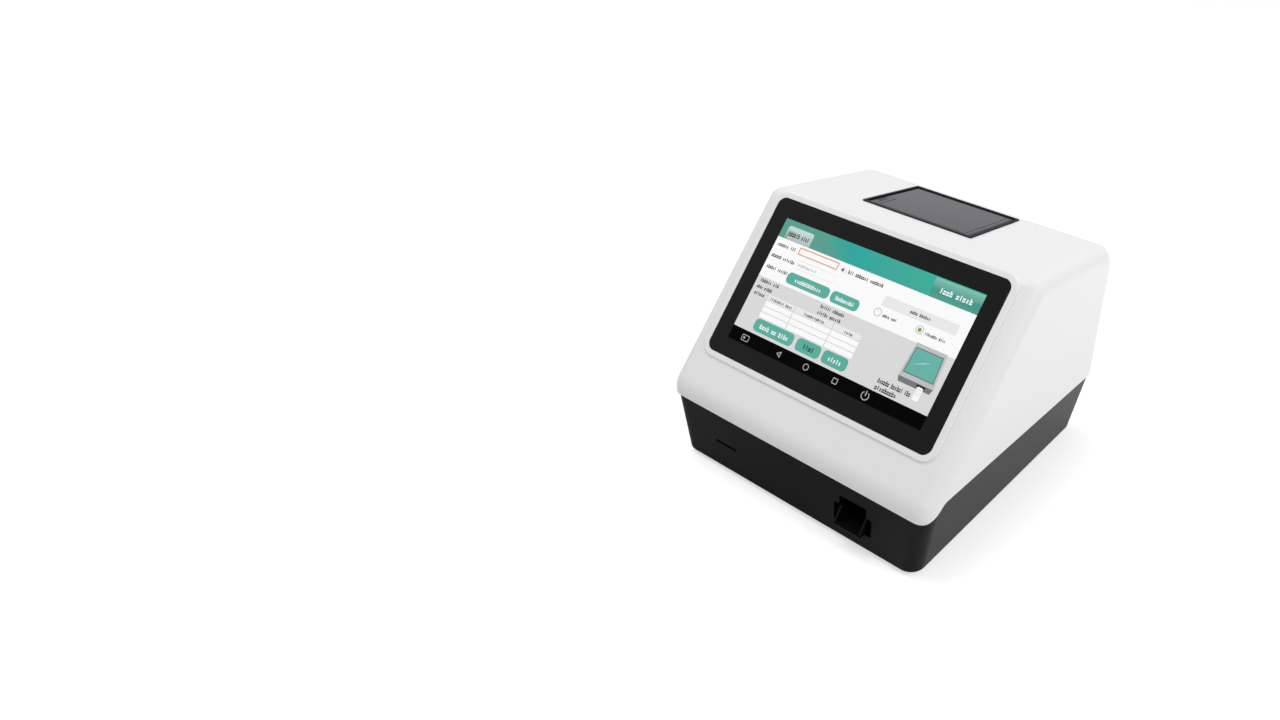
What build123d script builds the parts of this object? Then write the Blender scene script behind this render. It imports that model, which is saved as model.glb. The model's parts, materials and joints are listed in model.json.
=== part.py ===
from build123d import *
import os
import math

# Immunofluorescence analyzer: a bench instrument with a sloping touch screen, a sliding
# cassette tray behind a front mouth and a ticket printer under a lid in its roof.
# Frame: X to the right seen from the front, Y to the back, Z up, the table at Z = 0.

os.makedirs("parts", exist_ok=True)

# Casing
width = 244.0
depth = 250.0
foot_proud = 2.5
wall = 3.0
front_part_z = 53.5
side_part_front_z = 65.2
side_part_back_z = 61.0
side_rise_start = 2.0
side_rise_length = 16.0
side_rise_radius = 9.0
base_foot_inset = 7.0
base_back_lean = 4.0
base_overhang = 0.8
base_corner_radius = 12.0
base_rim_radius = 3.0
gap_height = 1.0
gap_depth = 1.0
tongue_wall = 1.4
tongue_reach = 3.0
fit_gap = 0.2
brow_z = 188.0
roof_tilt = 4.06
side_lean = 2.0
back_lean = 11.0
side_radius = 12.0
lip_radius = 22.0
brow_radius = 12.0
crown_radius = 21.0
form_floor_z = 40.0

# Screen
slope_deg = 48.5
glass_width = 204.0
glass_height = 127.0
glass_thickness = 1.8
glass_radius = 6.5
glass_setback = 22.4
glass_low_z = 89.9
glass_gap = 0.3
glass_proud = 0.2
plateau_height = 1.4
plateau_border = 4.8
plateau_radius = 11.0
plateau_edge = 0.9
lcd_width = 184.0
lcd_height = 108.0
lcd_thickness = 5.6
lcd_window_gap = 1.0
frame_sheet = 1.2
frame_width = 208.0
frame_height = 112.0
frame_flange = 5.0
frame_post_x = 98.5
frame_post_y = 40.0
frame_post_radius = 3.5
main_board_width = 130.0
main_board_height = 84.0
board_thickness = 1.6
board_post_height = 10.0

# Cassette mouth and tray
tongue_proud = 6.0
mouth_x = 59.0
mouth_width = 33.5
mouth_low_z = 17.5
mouth_height = 16.0
notch_width = 24.0
notch_rise = 8.0
mouth_corner = 1.0
throat_wall = 1.6
throat_depth = 16.0
throat_flange = 6.0
tray_width = 23.5
tray_floor = 2.0
tray_low_z = 18.3
tray_length = 92.0
tray_rail = 1.4
tray_rail_height = 7.7
tray_guide_height = 13.2
tray_guide_length = 12.0
tray_travel = 50.0
carriage_length = 34.0
carriage_start = 58.0
carriage_height = 7.4
rod_radius = 2.0
rod_spread = 9.0
rod_z = 14.4
screw_radius = 1.6
running_gap = 0.05
bush_wall = 1.0
bush_length = 6.0
nut_radius = 3.6
nut_length = 10.0
slide_sheet = 2.0
slide_start = 22.0
slide_length = 124.0
slide_half = 34.0
slide_post = 3.0
ear_sheet = 3.0
ear_half = 16.0
ear_gap = 0.4
motor_radius = 7.5
motor_length = 16.0
bearing_radius = 4.0
bearing_width = 2.5
coupler_radius = 4.5
coupler_length = 12.0
sensor_offset = 19.0
sensor_gap = 3.0
flag_thickness = 1.0

# Optical head
head_y = 82.0
head_width = 34.0
head_length = 38.0
head_height = 40.0
head_z = 34.0
bridge_sheet = 2.0
bridge_leg = 26.0
lens_radius = 5.0
lens_sag = 1.6
lens_rim = 1.2
bore_radius = 5.05
led_radius = 4.5
led_length = 24.0
led_start = 17.0
focus_z = 25.0

# Chip slot
chip_x = -65.0
chip_z = 27.5
chip_slot_width = 22.0
chip_slot_height = 2.2
chip_socket_depth = 16.0

# Printer
printer_x = -6.5
printer_setback = 181.6
bezel_length = 100.0
bezel_width = 74.0
bezel_radius = 2.0
bezel_border = 2.4
bezel_flange = 0.8
bezel_neck = 1.2
bezel_fit = 0.2
bucket_wall = 1.4
lid_thickness = 2.0
lid_gap = 0.6
paper_gap = 1.9
hinge_u = 44.0
hinge_w = -3.0
hinge_radius = 3.0
pin_radius = 1.0
platen_u = -39.2
platen_w = -8.0
platen_radius = 4.5
platen_length = 57.0
shaft_radius = 1.5
head_gap = 0.3
roll_u = 14.0
roll_w = -22.0
roll_bay_radius = 23.0
bay_depth = 14.0
drive_bay_depth = 34.0
drive_bay_end = -22.0
partition_v = 30.4
ear_inner_v = 29.6
gear_v = 31.5
gear_width = 2.5
gear_module = 0.5
platen_teeth = 22
idler_teeth = 24
pinion_teeth = 12
gear_slack = 0.1
feed_motor_radius = 7.0
feed_motor_length = 13.0
tab_length = 8.2
tab_width = 17.0
tab_v = -19.2

# Rear panel
control_board_x = -39.0
control_board_width = 112.0
control_board_depth = 84.0
control_post_height = 6.0
dc_x = -80.0
usb_x = (-62.0, -44.0)
lan_x = -22.0
socket_gap = 0.5
switch_x = 34.0
switch_z = 34.0
switch_length = 21.0
switch_height = 15.0
switch_depth = 16.0
rocker_tilt = 8.0
rocker_crest = 1.6
rocker_depth = 2.6
vent_x = 80.0
vent_count = 9
vent_pitch = 5.5
vent_width = 2.0
vent_height = 24.0

# Feet, speaker and fasteners
foot_radius = 7.5
foot_recess = 1.0
foot_x = 92.0
foot_inset = 26.0
post_x = 104.0
post_inset = 19.0
post_radius = 5.0
post_top_z = 48.0
screw_shank = 1.45
screw_head = 2.8
screw_head_height = 2.0
speaker_x = -62.0
speaker_y_inset = 84.0
speaker_radius = 14.0
speaker_height = 8.0

# Places worked out from the sizes above
half_width = width / 2
front_y = -depth / 2 + tongue_proud / 2
back_y = front_y + depth
rim_z = foot_proud
floor_z = rim_z + wall
face_y = front_y + base_overhang
inner_face_y = face_y + wall
slope = math.radians(slope_deg)
glass_low_y = front_y + glass_setback
slope_y = glass_low_y + plateau_height * math.sin(slope)
slope_z = glass_low_z - plateau_height * math.cos(slope)
lip_z = slope_z + (front_y - slope_y) * math.tan(slope)
brow_y = slope_y + (brow_z - slope_z) / math.tan(slope)
crown_y = back_y - back_lean
roof = math.radians(roof_tilt)
printer_y = front_y + printer_setback


def roof_z(y):
    """Height of the flat roof above a place along Y."""
    return brow_z - (y - brow_y) * math.tan(roof)


crown_z = roof_z(crown_y)
side_slope = (side_part_back_z - side_part_front_z) / (depth - side_rise_start - side_rise_length)
screen_plane = Plane(
    origin=(
        0,
        glass_low_y + glass_height / 2 * math.cos(slope),
        glass_low_z + glass_height / 2 * math.sin(slope),
    ),
    x_dir=(1, 0, 0),
    z_dir=(0, -math.sin(slope), math.cos(slope)),
)
printer_plane = Plane(
    origin=(printer_x, printer_y, roof_z(printer_y)),
    x_dir=(1, 0, 0),
    z_dir=(0, math.sin(roof), math.cos(roof)),
)


def printer_section(v):
    """Side view of the printer (U along, W up), cut at V; it extrudes towards lower V."""
    plane = Plane(
        origin=printer_plane.from_local_coords((0, v, 0)),
        x_dir=printer_plane.x_dir,
        z_dir=-printer_plane.y_dir,
    )
    return plane


def export(part, name):
    """Label a finished piece and write it."""
    part.label = name
    export_step(part, f"parts/{name}.step")


# Casing forms
def upper_form(inset):
    """Closed outer form of the white casing, moved inwards by an inset."""
    floor = form_floor_z - 2 * inset
    back_run = back_lean / (crown_z - side_part_back_z)
    foot_y = back_y + (side_part_back_z - floor) * back_run
    lean = side_lean / (brow_z - front_part_z)
    low_half = half_width - inset + (front_part_z - floor + wall) * lean
    top_half = half_width - inset - side_lean - wall * lean
    with BuildPart() as form:
        with BuildSketch(Plane.YZ) as outline:
            with BuildLine():
                Polyline(
                    (front_y, floor),
                    (front_y, lip_z),
                    (brow_y, brow_z),
                    (crown_y, crown_z),
                    (foot_y, floor),
                    close=True,
                )
            make_face()
            if inset > 0:
                offset(amount=-inset, kind=Kind.INTERSECTION, mode=Mode.REPLACE)
            for y, z, radius in (
                (front_y, lip_z, lip_radius),
                (brow_y, brow_z, brow_radius),
                (crown_y, crown_z, crown_radius),
            ):
                corner = outline.vertices().sort_by_distance((y, z, 0))[0]
                fillet(corner, radius - inset)
        extrude(amount=width, both=True)
        with BuildSketch(Plane.XZ):
            with BuildLine():
                Polyline(
                    (-low_half, floor - wall),
                    (low_half, floor - wall),
                    (top_half, brow_z + wall),
                    (-top_half, brow_z + wall),
                    close=True,
                )
            make_face()
        extrude(amount=depth, both=True, mode=Mode.INTERSECT)
        rims = form.edges().filter_by(
            lambda edge: abs(edge.center().X) > half_width / 2 and edge.center().Z > floor + 1
        )
        fillet(rims, side_radius - inset)
    return form.part


def base_section(z, inset):
    """Half width, front and back of the dark base at a height."""
    share = (z - rim_z) / (side_part_front_z - rim_z)
    half = half_width - base_overhang - base_foot_inset * (1 - share) - inset
    back = back_y - base_overhang - base_back_lean * (1 - share) - inset
    return half, face_y + inset, back


def lower_form(inset, low_z, high_z):
    """Closed outer form of the base between two heights, moved inwards by an inset."""
    with BuildPart() as form:
        for z in (low_z, high_z):
            half, front, back = base_section(z, inset)
            with BuildSketch(Plane.XY.offset(z)):
                with Locations((0, (front + back) / 2)):
                    RectangleRounded(2 * half, back - front, base_corner_radius - inset)
        loft()
    return form.part


def under_parting(drop):
    """Everything under the parting line, lowered by a drop."""
    rise_y = front_y + side_rise_start
    top_y = rise_y + side_rise_length
    far_y = back_y + wall
    with BuildPart() as region:
        with BuildSketch(Plane.YZ):
            with BuildLine():
                FilletPolyline(
                    (front_y - wall, -wall),
                    (front_y - wall, front_part_z - drop),
                    (rise_y, front_part_z - drop),
                    (top_y, side_part_front_z - drop),
                    (far_y, side_part_front_z - drop + side_slope * (far_y - top_y)),
                    (far_y, -wall),
                    radius=[0, 0, side_rise_radius, side_rise_radius, 0, 0],
                    close=True,
                )
            make_face()
        extrude(amount=width, both=True)
    return region.part


high_z = side_part_front_z + 8.0
upper_outer = upper_form(0)
upper_inner = upper_form(wall)
lower_outer = lower_form(0, rim_z, high_z)
lower_inner = lower_form(wall, floor_z, high_z)
below = under_parting(0)
below_gap = under_parting(gap_height)
below_tongue = under_parting(-tongue_reach)
below_root = under_parting(tongue_reach)

with BuildPart() as neck:
    add(lower_form(gap_depth, rim_z + wall, high_z))
    add(below, mode=Mode.INTERSECT)

with BuildPart() as tongue_core:
    add(upper_form(wall + fit_gap + tongue_wall))

with BuildPart() as tongue:
    add(upper_form(wall + fit_gap))
    add(tongue_core.part, mode=Mode.SUBTRACT)
    add(below_tongue, mode=Mode.INTERSECT)
    add(below_root, mode=Mode.SUBTRACT)

post_places = [
    (sign * post_x, y)
    for sign in (-1, 1)
    for y in (front_y + post_inset, back_y - post_inset)
]
foot_places = [
    (sign * foot_x, y)
    for sign in (-1, 1)
    for y in (front_y + foot_inset, back_y - foot_inset)
]
slide_front_y = front_y + slide_start
slide_back_y = slide_front_y + slide_length
slide_places = [
    (mouth_x + sign * (slide_half - 5.0), y)
    for sign in (-1, 1)
    for y in (slide_front_y + 6.0, slide_back_y - 6.0)
]
control_back_y = base_section(floor_z, wall)[2] - 1.5
control_y = control_back_y - control_board_depth / 2
control_places = [
    (control_board_x + sign * (control_board_width / 2 - 5.0), control_y + end * 36.0)
    for sign in (-1, 1)
    for end in (-1, 1)
]
control_board_z = floor_z + control_post_height
socket_z = control_board_z + board_thickness
chip_board_z = chip_z - 5.6
chip_board_y = inner_face_y + 16.0
chip_places = [(chip_x + sign * 17.0, chip_board_y + 6.0) for sign in (-1, 1)]
speaker_y = front_y + speaker_y_inset
wall_lean = math.atan(base_back_lean / (side_part_front_z - rim_z))
back_plane = Plane(
    origin=(switch_x, base_section(switch_z, 0)[2], switch_z),
    x_dir=(-1, 0, 0),
    z_dir=(0, math.cos(wall_lean), -math.sin(wall_lean)),
)
mouth_mid_z = mouth_low_z + mouth_height / 2
mouth_top_z = mouth_low_z + mouth_height


def mouth_sketch(grow):
    """Cassette mouth seen from the front: a wide window with a finger notch on top."""
    with BuildSketch(Plane.XZ) as shape:
        with Locations((mouth_x, mouth_mid_z)):
            Rectangle(mouth_width + 2 * grow, mouth_height + 2 * grow)
        with Locations((mouth_x, mouth_top_z + grow)):
            Rectangle(
                notch_width + 2 * grow,
                notch_rise,
                align=(Align.CENTER, Align.MIN),
            )
        fillet(shape.vertices(), mouth_corner)
    return shape.sketch


mouth_outline = mouth_sketch(0)
throat_outline = mouth_sketch(throat_wall)

# Dark base with the mouth, the chip slot, the rear cut-outs and the posts
with BuildPart() as base_shell:
    add(lower_outer)
    fillet(base_shell.faces().sort_by(Axis.Z)[0].edges(), base_rim_radius)
    add(below_gap, mode=Mode.INTERSECT)
    add(neck.part)
    add(lower_inner, mode=Mode.SUBTRACT)
    add(tongue.part)
    with BuildSketch(Plane.XY.offset(floor_z)):
        with Locations(*post_places):
            Circle(post_radius)
    extrude(amount=post_top_z - floor_z)
    with BuildSketch(Plane.XY.offset(floor_z)):
        with Locations(*slide_places):
            Circle(4.0)
    extrude(amount=slide_post)
    with BuildSketch(Plane.XY.offset(floor_z)):
        with Locations(*chip_places):
            Circle(3.0)
    extrude(amount=chip_board_z - floor_z)
    with BuildSketch(Plane.XY.offset(floor_z)):
        with Locations((speaker_x, speaker_y)):
            Circle(speaker_radius + fit_gap + 1.5)
            Circle(speaker_radius + fit_gap, mode=Mode.SUBTRACT)
    extrude(amount=speaker_height - 2.0)
    with BuildSketch(Plane.XZ.offset(-inner_face_y - 1.0)):
        add(mouth_outline)
        with Locations((chip_x, chip_z)):
            SlotOverall(chip_slot_width, chip_slot_height)
    extrude(amount=wall + 3.0, mode=Mode.SUBTRACT)
    with BuildSketch(Plane.XZ.offset(-back_y - 1.0)):
        with Locations((dc_x, socket_z + 5.5)):
            Rectangle(9.0 + 2 * socket_gap, 11.0 + 2 * socket_gap)
        with Locations(*[(x, socket_z + 3.5) for x in usb_x]):
            Rectangle(14.5 + 2 * socket_gap, 7.0 + 2 * socket_gap)
        with Locations((lan_x, socket_z + 6.75)):
            Rectangle(16.0 + 2 * socket_gap, 13.5 + 2 * socket_gap)
        with Locations((vent_x, switch_z)):
            with GridLocations(vent_pitch, 1, vent_count, 1):
                SlotOverall(vent_height, vent_width, rotation=90)
    extrude(amount=base_back_lean + wall + 6.0, mode=Mode.SUBTRACT)
    with BuildSketch(back_plane.offset(1.0)):
        Rectangle(switch_length - 1.6, switch_height - 1.6)
    extrude(amount=-wall - 3.0, mode=Mode.SUBTRACT)
    with BuildSketch(Plane.XY.offset(rim_z)):
        with Locations(*foot_places):
            Circle(foot_radius + fit_gap)
    extrude(amount=foot_recess, mode=Mode.SUBTRACT)
    with BuildSketch(Plane.XY.offset(rim_z)):
        with Locations(*post_places):
            Circle(screw_head + 0.5)
    extrude(amount=post_top_z - 10.0 - rim_z, mode=Mode.SUBTRACT)
    with BuildSketch(Plane.XY.offset(rim_z)):
        with Locations(*post_places):
            Circle(screw_shank + 0.2)
        with Locations((speaker_x, speaker_y)):
            Circle(1.1)
            with PolarLocations(4.5, 6):
                Circle(1.1)
            with PolarLocations(9.0, 12):
                Circle(1.1)
    extrude(amount=post_top_z, mode=Mode.SUBTRACT)
    with BuildSketch(Plane.XY.offset(floor_z - 1.0)):
        with Locations(*slide_places):
            Circle(screw_shank + running_gap)
    extrude(amount=slide_post + 2.0, mode=Mode.SUBTRACT)
export(base_shell.part, "base_shell")

# White casing with the raised screen surround and the printer cut-out
plateau_width = glass_width + 2 * plateau_border
plateau_length = glass_height + 2 * plateau_border
inner_slope = -plateau_height - wall
frame_posts = [(i * frame_post_x, j * frame_post_y) for i in (-1, 1) for j in (-1, 1)]
lcd_front = glass_proud - glass_thickness - fit_gap
lcd_back = lcd_front - lcd_thickness

with BuildPart() as casing_bosses:
    with BuildSketch(Plane.XY.offset(post_top_z)):
        with Locations(*post_places):
            Circle(post_radius)
    extrude(amount=brow_z)
    add(upper_form(wall / 2), mode=Mode.INTERSECT)

with BuildPart() as top_shell:
    add(upper_outer)
    with BuildSketch(screen_plane):
        RectangleRounded(plateau_width, plateau_length, plateau_radius)
    extrude(amount=-plateau_height - wall)
    fillet(
        top_shell.edges().filter_by(
            lambda edge: abs(screen_plane.to_local_coords(edge.center()).Z) < 0.01
        ),
        plateau_edge,
    )
    add(upper_inner, mode=Mode.SUBTRACT)
    add(below, mode=Mode.SUBTRACT)
    add(casing_bosses.part)
    with BuildSketch(screen_plane.offset(inner_slope + 0.5)):
        with Locations(*frame_posts):
            Circle(frame_post_radius)
    extrude(amount=lcd_back - inner_slope - 0.5)
    with BuildSketch(screen_plane.offset(1.0)):
        RectangleRounded(
            glass_width + 2 * glass_gap,
            glass_height + 2 * glass_gap,
            glass_radius + glass_gap,
        )
    extrude(amount=-1.0 - glass_thickness + glass_proud, mode=Mode.SUBTRACT)
    with BuildSketch(screen_plane):
        RectangleRounded(lcd_width + 2 * lcd_window_gap, lcd_height + 2 * lcd_window_gap, 3.0)
    extrude(amount=-3 * wall, mode=Mode.SUBTRACT)
    with BuildSketch(screen_plane.offset(lcd_back)):
        with Locations(*frame_posts):
            Circle(screw_shank + running_gap)
    extrude(amount=4.5, mode=Mode.SUBTRACT)
    with BuildSketch(printer_plane.offset(wall)):
        Rectangle(
            bezel_length - 2 * bezel_flange + 2 * bezel_fit,
            bezel_width - 2 * bezel_flange + 2 * bezel_fit,
        )
    extrude(amount=-3 * wall, mode=Mode.SUBTRACT)
    with BuildSketch(Plane.XY.offset(post_top_z)):
        with Locations(*post_places):
            Circle(screw_shank + running_gap)
    extrude(amount=14.0, mode=Mode.SUBTRACT)
export(top_shell.part, "top_shell")

# Cover glass, display module and the sheet frame behind it
with BuildPart() as touch_glass:
    with BuildSketch(screen_plane.offset(glass_proud)):
        RectangleRounded(glass_width, glass_height, glass_radius)
    extrude(amount=-glass_thickness)
    chamfer(
        touch_glass.edges().filter_by(
            lambda edge: abs(screen_plane.to_local_coords(edge.center()).Z - glass_proud) < 0.01
        ),
        0.25,
    )
export(touch_glass.part, "touch_glass")

with BuildPart() as lcd_panel:
    with BuildSketch(screen_plane.offset(lcd_front)):
        Rectangle(lcd_width, lcd_height)
    extrude(amount=-lcd_thickness)
    with BuildSketch(screen_plane.offset(lcd_back)):
        with Locations((0, -lcd_height / 4)):
            Rectangle(lcd_width * 0.6, lcd_height * 0.25)
    extrude(amount=0.6, mode=Mode.SUBTRACT)
export(lcd_panel.part, "lcd_panel")

board_posts = [(i * 58.0, j * 36.0) for i in (-1, 1) for j in (-1, 1)]
frame_back = lcd_back - frame_sheet
main_board_front = frame_back - board_post_height
with BuildPart() as display_frame:
    with BuildSketch(screen_plane.offset(lcd_back)):
        Rectangle(frame_width, frame_height)
        Rectangle(frame_width * 0.5, frame_height * 0.35, mode=Mode.SUBTRACT)
        with Locations(*frame_posts):
            Circle(screw_shank + 0.2, mode=Mode.SUBTRACT)
    extrude(amount=-frame_sheet)
    with BuildSketch(screen_plane.offset(lcd_back)):
        with GridLocations(1, frame_height - frame_sheet, 1, 2):
            Rectangle(frame_width - 30.0, frame_sheet)
    extrude(amount=-frame_flange)
    with BuildSketch(screen_plane.offset(frame_back)):
        with Locations(*board_posts):
            Circle(2.8)
    extrude(amount=-board_post_height)
export(display_frame.part, "display_frame")

with BuildPart() as main_board:
    with BuildSketch(screen_plane.offset(main_board_front)):
        Rectangle(main_board_width, main_board_height)
    extrude(amount=-board_thickness)
    with BuildSketch(screen_plane.offset(main_board_front - board_thickness)):
        with Locations((-20.0, 8.0)):
            Rectangle(26.0, 26.0)
        with GridLocations(18.0, 16.0, 2, 2):
            with Locations((28.0, 6.0)):
                Rectangle(12.0, 9.0)
        with Locations((0, -34.0)):
            Rectangle(90.0, 7.0)
    extrude(amount=-2.4)
    with BuildSketch(screen_plane.offset(main_board_front - board_thickness - 2.4)):
        with Locations((-20.0, 8.0)):
            with GridLocations(4.0, 1, 6, 1):
                Rectangle(1.4, 24.0)
    extrude(amount=-6.0)
export(main_board.part, "main_board")

with BuildPart() as display_screws:
    with BuildSketch(screen_plane.offset(frame_back)):
        with Locations(*frame_posts):
            Circle(screw_head)
    extrude(amount=-screw_head_height)
    with BuildSketch(screen_plane.offset(frame_back)):
        with Locations(*frame_posts):
            Circle(screw_shank)
    extrude(amount=frame_sheet + 4.0)
export(display_screws.part, "display_screws")

# Light-tight throat behind the cassette mouth
with BuildPart() as mouth_throat:
    with BuildSketch(Plane.XZ.offset(-inner_face_y)):
        with Locations((mouth_x, mouth_mid_z + notch_rise / 2)):
            Rectangle(mouth_width + 2 * throat_flange, mouth_height + notch_rise + throat_flange)
    extrude(amount=-2.0)
    with BuildSketch(Plane.XZ.offset(-inner_face_y)):
        add(throat_outline)
    extrude(amount=-throat_depth)
    with BuildSketch(Plane.XZ.offset(-inner_face_y)):
        add(mouth_outline)
    extrude(amount=-throat_depth, mode=Mode.SUBTRACT)
export(mouth_throat.part, "mouth_throat")

# Slide frame: a folded plate whose two ears carry the rods, the screw and the motor
slide_low_z = floor_z + slide_post
slide_top_z = slide_low_z + slide_sheet
ear_top_z = tray_low_z - ear_gap
ear_ys = (slide_front_y, slide_back_y - ear_sheet)
with BuildPart() as slide_frame:
    with BuildSketch(Plane.XY.offset(slide_low_z)):
        with Locations((mouth_x, (slide_front_y + slide_back_y) / 2)):
            Rectangle(2 * slide_half, slide_length)
        with Locations((mouth_x, (slide_front_y + slide_back_y) / 2)):
            Rectangle(16.0, slide_length * 0.6, mode=Mode.SUBTRACT)
        with Locations(*slide_places):
            Circle(screw_shank + 0.2, mode=Mode.SUBTRACT)
    extrude(amount=slide_sheet)
    for ear_y in ear_ys:
        with BuildSketch(Plane.XZ.offset(-ear_y)):
            with Locations((mouth_x, (slide_top_z + ear_top_z) / 2)):
                Rectangle(2 * ear_half, ear_top_z - slide_top_z)
        extrude(amount=-ear_sheet)
    with BuildSketch(Plane.XZ.offset(-slide_front_y + 1.0)):
        with Locations((mouth_x - rod_spread, rod_z), (mouth_x + rod_spread, rod_z)):
            Circle(rod_radius + running_gap)
        with Locations((mouth_x, rod_z)):
            Circle(bearing_radius - 0.8)
    extrude(amount=-slide_length - 2.0, mode=Mode.SUBTRACT)
export(slide_frame.part, "slide_frame")

with BuildPart() as guide_rods:
    with BuildSketch(Plane.XZ.offset(-slide_front_y)):
        with Locations((mouth_x - rod_spread, rod_z), (mouth_x + rod_spread, rod_z)):
            Circle(rod_radius)
    extrude(amount=-slide_length)
    chamfer(guide_rods.edges().filter_by(GeomType.CIRCLE), 0.4)
export(guide_rods.part, "guide_rods")

with BuildPart() as screw_bearings:
    for ear_y in ear_ys:
        with BuildSketch(Plane.XZ.offset(-ear_y)):
            with Locations((mouth_x, rod_z)):
                Circle(bearing_radius - 0.8 - 0.02)
        extrude(amount=-bearing_width)
    with BuildSketch(Plane.XZ.offset(-slide_front_y)):
        with Locations((mouth_x, rod_z)):
            Circle(bearing_radius - 0.2)
    extrude(amount=0.6)
    with BuildSketch(Plane.XZ.offset(-slide_back_y + ear_sheet)):
        with Locations((mouth_x, rod_z)):
            Circle(bearing_radius - 0.2)
    extrude(amount=0.6)
    with BuildSketch(Plane.XZ.offset(-slide_front_y + 1.0)):
        with Locations((mouth_x, rod_z)):
            Circle(screw_radius + running_gap)
    extrude(amount=-slide_length - 2.0, mode=Mode.SUBTRACT)
export(screw_bearings.part, "screw_bearings")

# Tray: floor, cassette rails, raised front guides and the carriage block under it
tray_front_y = front_y - tongue_proud
tray_top_z = tray_low_z + tray_floor
carriage_y = tray_front_y + carriage_start
carriage_low_z = tray_low_z - carriage_height
guide_front_y = face_y + 1.5
with BuildPart() as cassette_tray:
    with BuildSketch(Plane.XY.offset(tray_low_z)):
        with Locations((mouth_x, tray_front_y)):
            Rectangle(tray_width, tray_length, align=(Align.CENTER, Align.MIN))
    extrude(amount=tray_floor)
    front_edges = cassette_tray.edges().filter_by(Axis.Z).group_by(Axis.Y)[0]
    fillet(front_edges, 1.2)
    for side in (-1, 1):
        rail_x = mouth_x + side * tray_width / 2
        with BuildSketch(Plane.YZ.offset(rail_x)):
            with BuildLine():
                FilletPolyline(
                    (tray_front_y + 1.0, tray_low_z + 0.5),
                    (tray_front_y + 1.0, tray_top_z + 0.5),
                    (guide_front_y, tray_low_z + tray_guide_height),
                    (guide_front_y + tray_guide_length, tray_low_z + tray_guide_height),
                    (guide_front_y + tray_guide_length + 5.0, tray_low_z + tray_rail_height),
                    (tray_front_y + tray_length, tray_low_z + tray_rail_height),
                    (tray_front_y + tray_length, tray_low_z + 0.5),
                    radius=[0, 0.6, 1.5, 3.0, 3.0, 0, 0],
                    close=True,
                )
            make_face()
        extrude(amount=-side * tray_rail)
    with BuildSketch(Plane.XZ.offset(-tray_front_y - tray_length)):
        with Locations((mouth_x, tray_top_z - 0.5)):
            Rectangle(tray_width - 1.0, 4.5, align=(Align.CENTER, Align.MIN))
    extrude(amount=2.0)
    with BuildSketch(Plane.XY.offset(tray_low_z)):
        with Locations((mouth_x, carriage_y)):
            Rectangle(2 * rod_spread + 8.0, carriage_length, align=(Align.CENTER, Align.MIN))
    extrude(amount=-carriage_height)
    with BuildSketch(Plane.XY.offset(tray_low_z)):
        with Locations((mouth_x + sensor_offset - 2.0, carriage_y + carriage_length / 2)):
            Rectangle(8.0, 5.0)
    extrude(amount=-1.4)
    with BuildSketch(Plane.XY.offset(tray_low_z - 1.4)):
        with Locations((mouth_x + sensor_offset, carriage_y + carriage_length / 2)):
            Rectangle(flag_thickness, 5.0)
    extrude(amount=-3.5)
    with BuildSketch(Plane.XZ.offset(-carriage_y + 1.0)):
        with Locations((mouth_x - rod_spread, rod_z), (mouth_x + rod_spread, rod_z)):
            Circle(rod_radius + bush_wall)
        with Locations((mouth_x, rod_z)):
            Circle(screw_radius + bush_wall)
    extrude(amount=-carriage_length - 2.0, mode=Mode.SUBTRACT)
    with BuildSketch(Plane.XY.offset(tray_low_z - 0.5)):
        with Locations((mouth_x, tray_front_y + 40.0)):
            SlotOverall(30.0, 9.0, rotation=90)
    extrude(amount=tray_floor + 1.0, mode=Mode.SUBTRACT)
export(cassette_tray.part, "cassette_tray")

with BuildPart() as tray_bushes:
    bush_ys = (carriage_y, carriage_y + carriage_length - bush_length)
    for bush_y in bush_ys:
        with BuildSketch(Plane.XZ.offset(-bush_y)):
            with Locations((mouth_x - rod_spread, rod_z), (mouth_x + rod_spread, rod_z)):
                Circle(rod_radius + bush_wall)
                Circle(rod_radius + running_gap, mode=Mode.SUBTRACT)
        extrude(amount=-bush_length)
export(tray_bushes.part, "tray_bushes")

with BuildPart() as tray_nut:
    with BuildSketch(Plane.XZ.offset(-carriage_y)):
        with Locations((mouth_x, rod_z)):
            Circle(nut_radius)
    extrude(amount=1.5)
    with BuildSketch(Plane.XZ.offset(-carriage_y)):
        with Locations((mouth_x, rod_z)):
            Circle(screw_radius + bush_wall)
    extrude(amount=-nut_length)
    with BuildSketch(Plane.XZ.offset(-carriage_y + 1.5)):
        with Locations((mouth_x, rod_z)):
            Circle(screw_radius + running_gap)
    extrude(amount=-nut_length - 1.5, mode=Mode.SUBTRACT)
export(tray_nut.part, "tray_nut")

# Lead screw with its coupler, and the small stepper that turns it
coupler_y = slide_back_y + 1.0
motor_y = coupler_y + coupler_length + 1.0
with BuildPart() as lead_screw:
    with BuildSketch(Plane.XZ.offset(-slide_front_y + 1.0)):
        with Locations((mouth_x, rod_z)):
            Circle(screw_radius)
    extrude(amount=-(coupler_y + coupler_length / 2 - slide_front_y + 1.0))
    chamfer(lead_screw.edges().filter_by(GeomType.CIRCLE), 0.4)
export(lead_screw.part, "lead_screw")

with BuildPart() as screw_coupler:
    with BuildSketch(Plane.XZ.offset(-coupler_y)):
        with Locations((mouth_x, rod_z)):
            Circle(coupler_radius)
    extrude(amount=-coupler_length)
    with BuildSketch(Plane.XZ.offset(-coupler_y)):
        with Locations((mouth_x, rod_z)):
            Circle(screw_radius)
    extrude(amount=-coupler_length / 2, mode=Mode.SUBTRACT)
    with BuildSketch(Plane.XZ.offset(-coupler_y - coupler_length)):
        with Locations((mouth_x, rod_z)):
            Circle(pin_radius + running_gap)
    extrude(amount=coupler_length / 2 - 1.0, mode=Mode.SUBTRACT)
export(screw_coupler.part, "screw_coupler")

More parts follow.
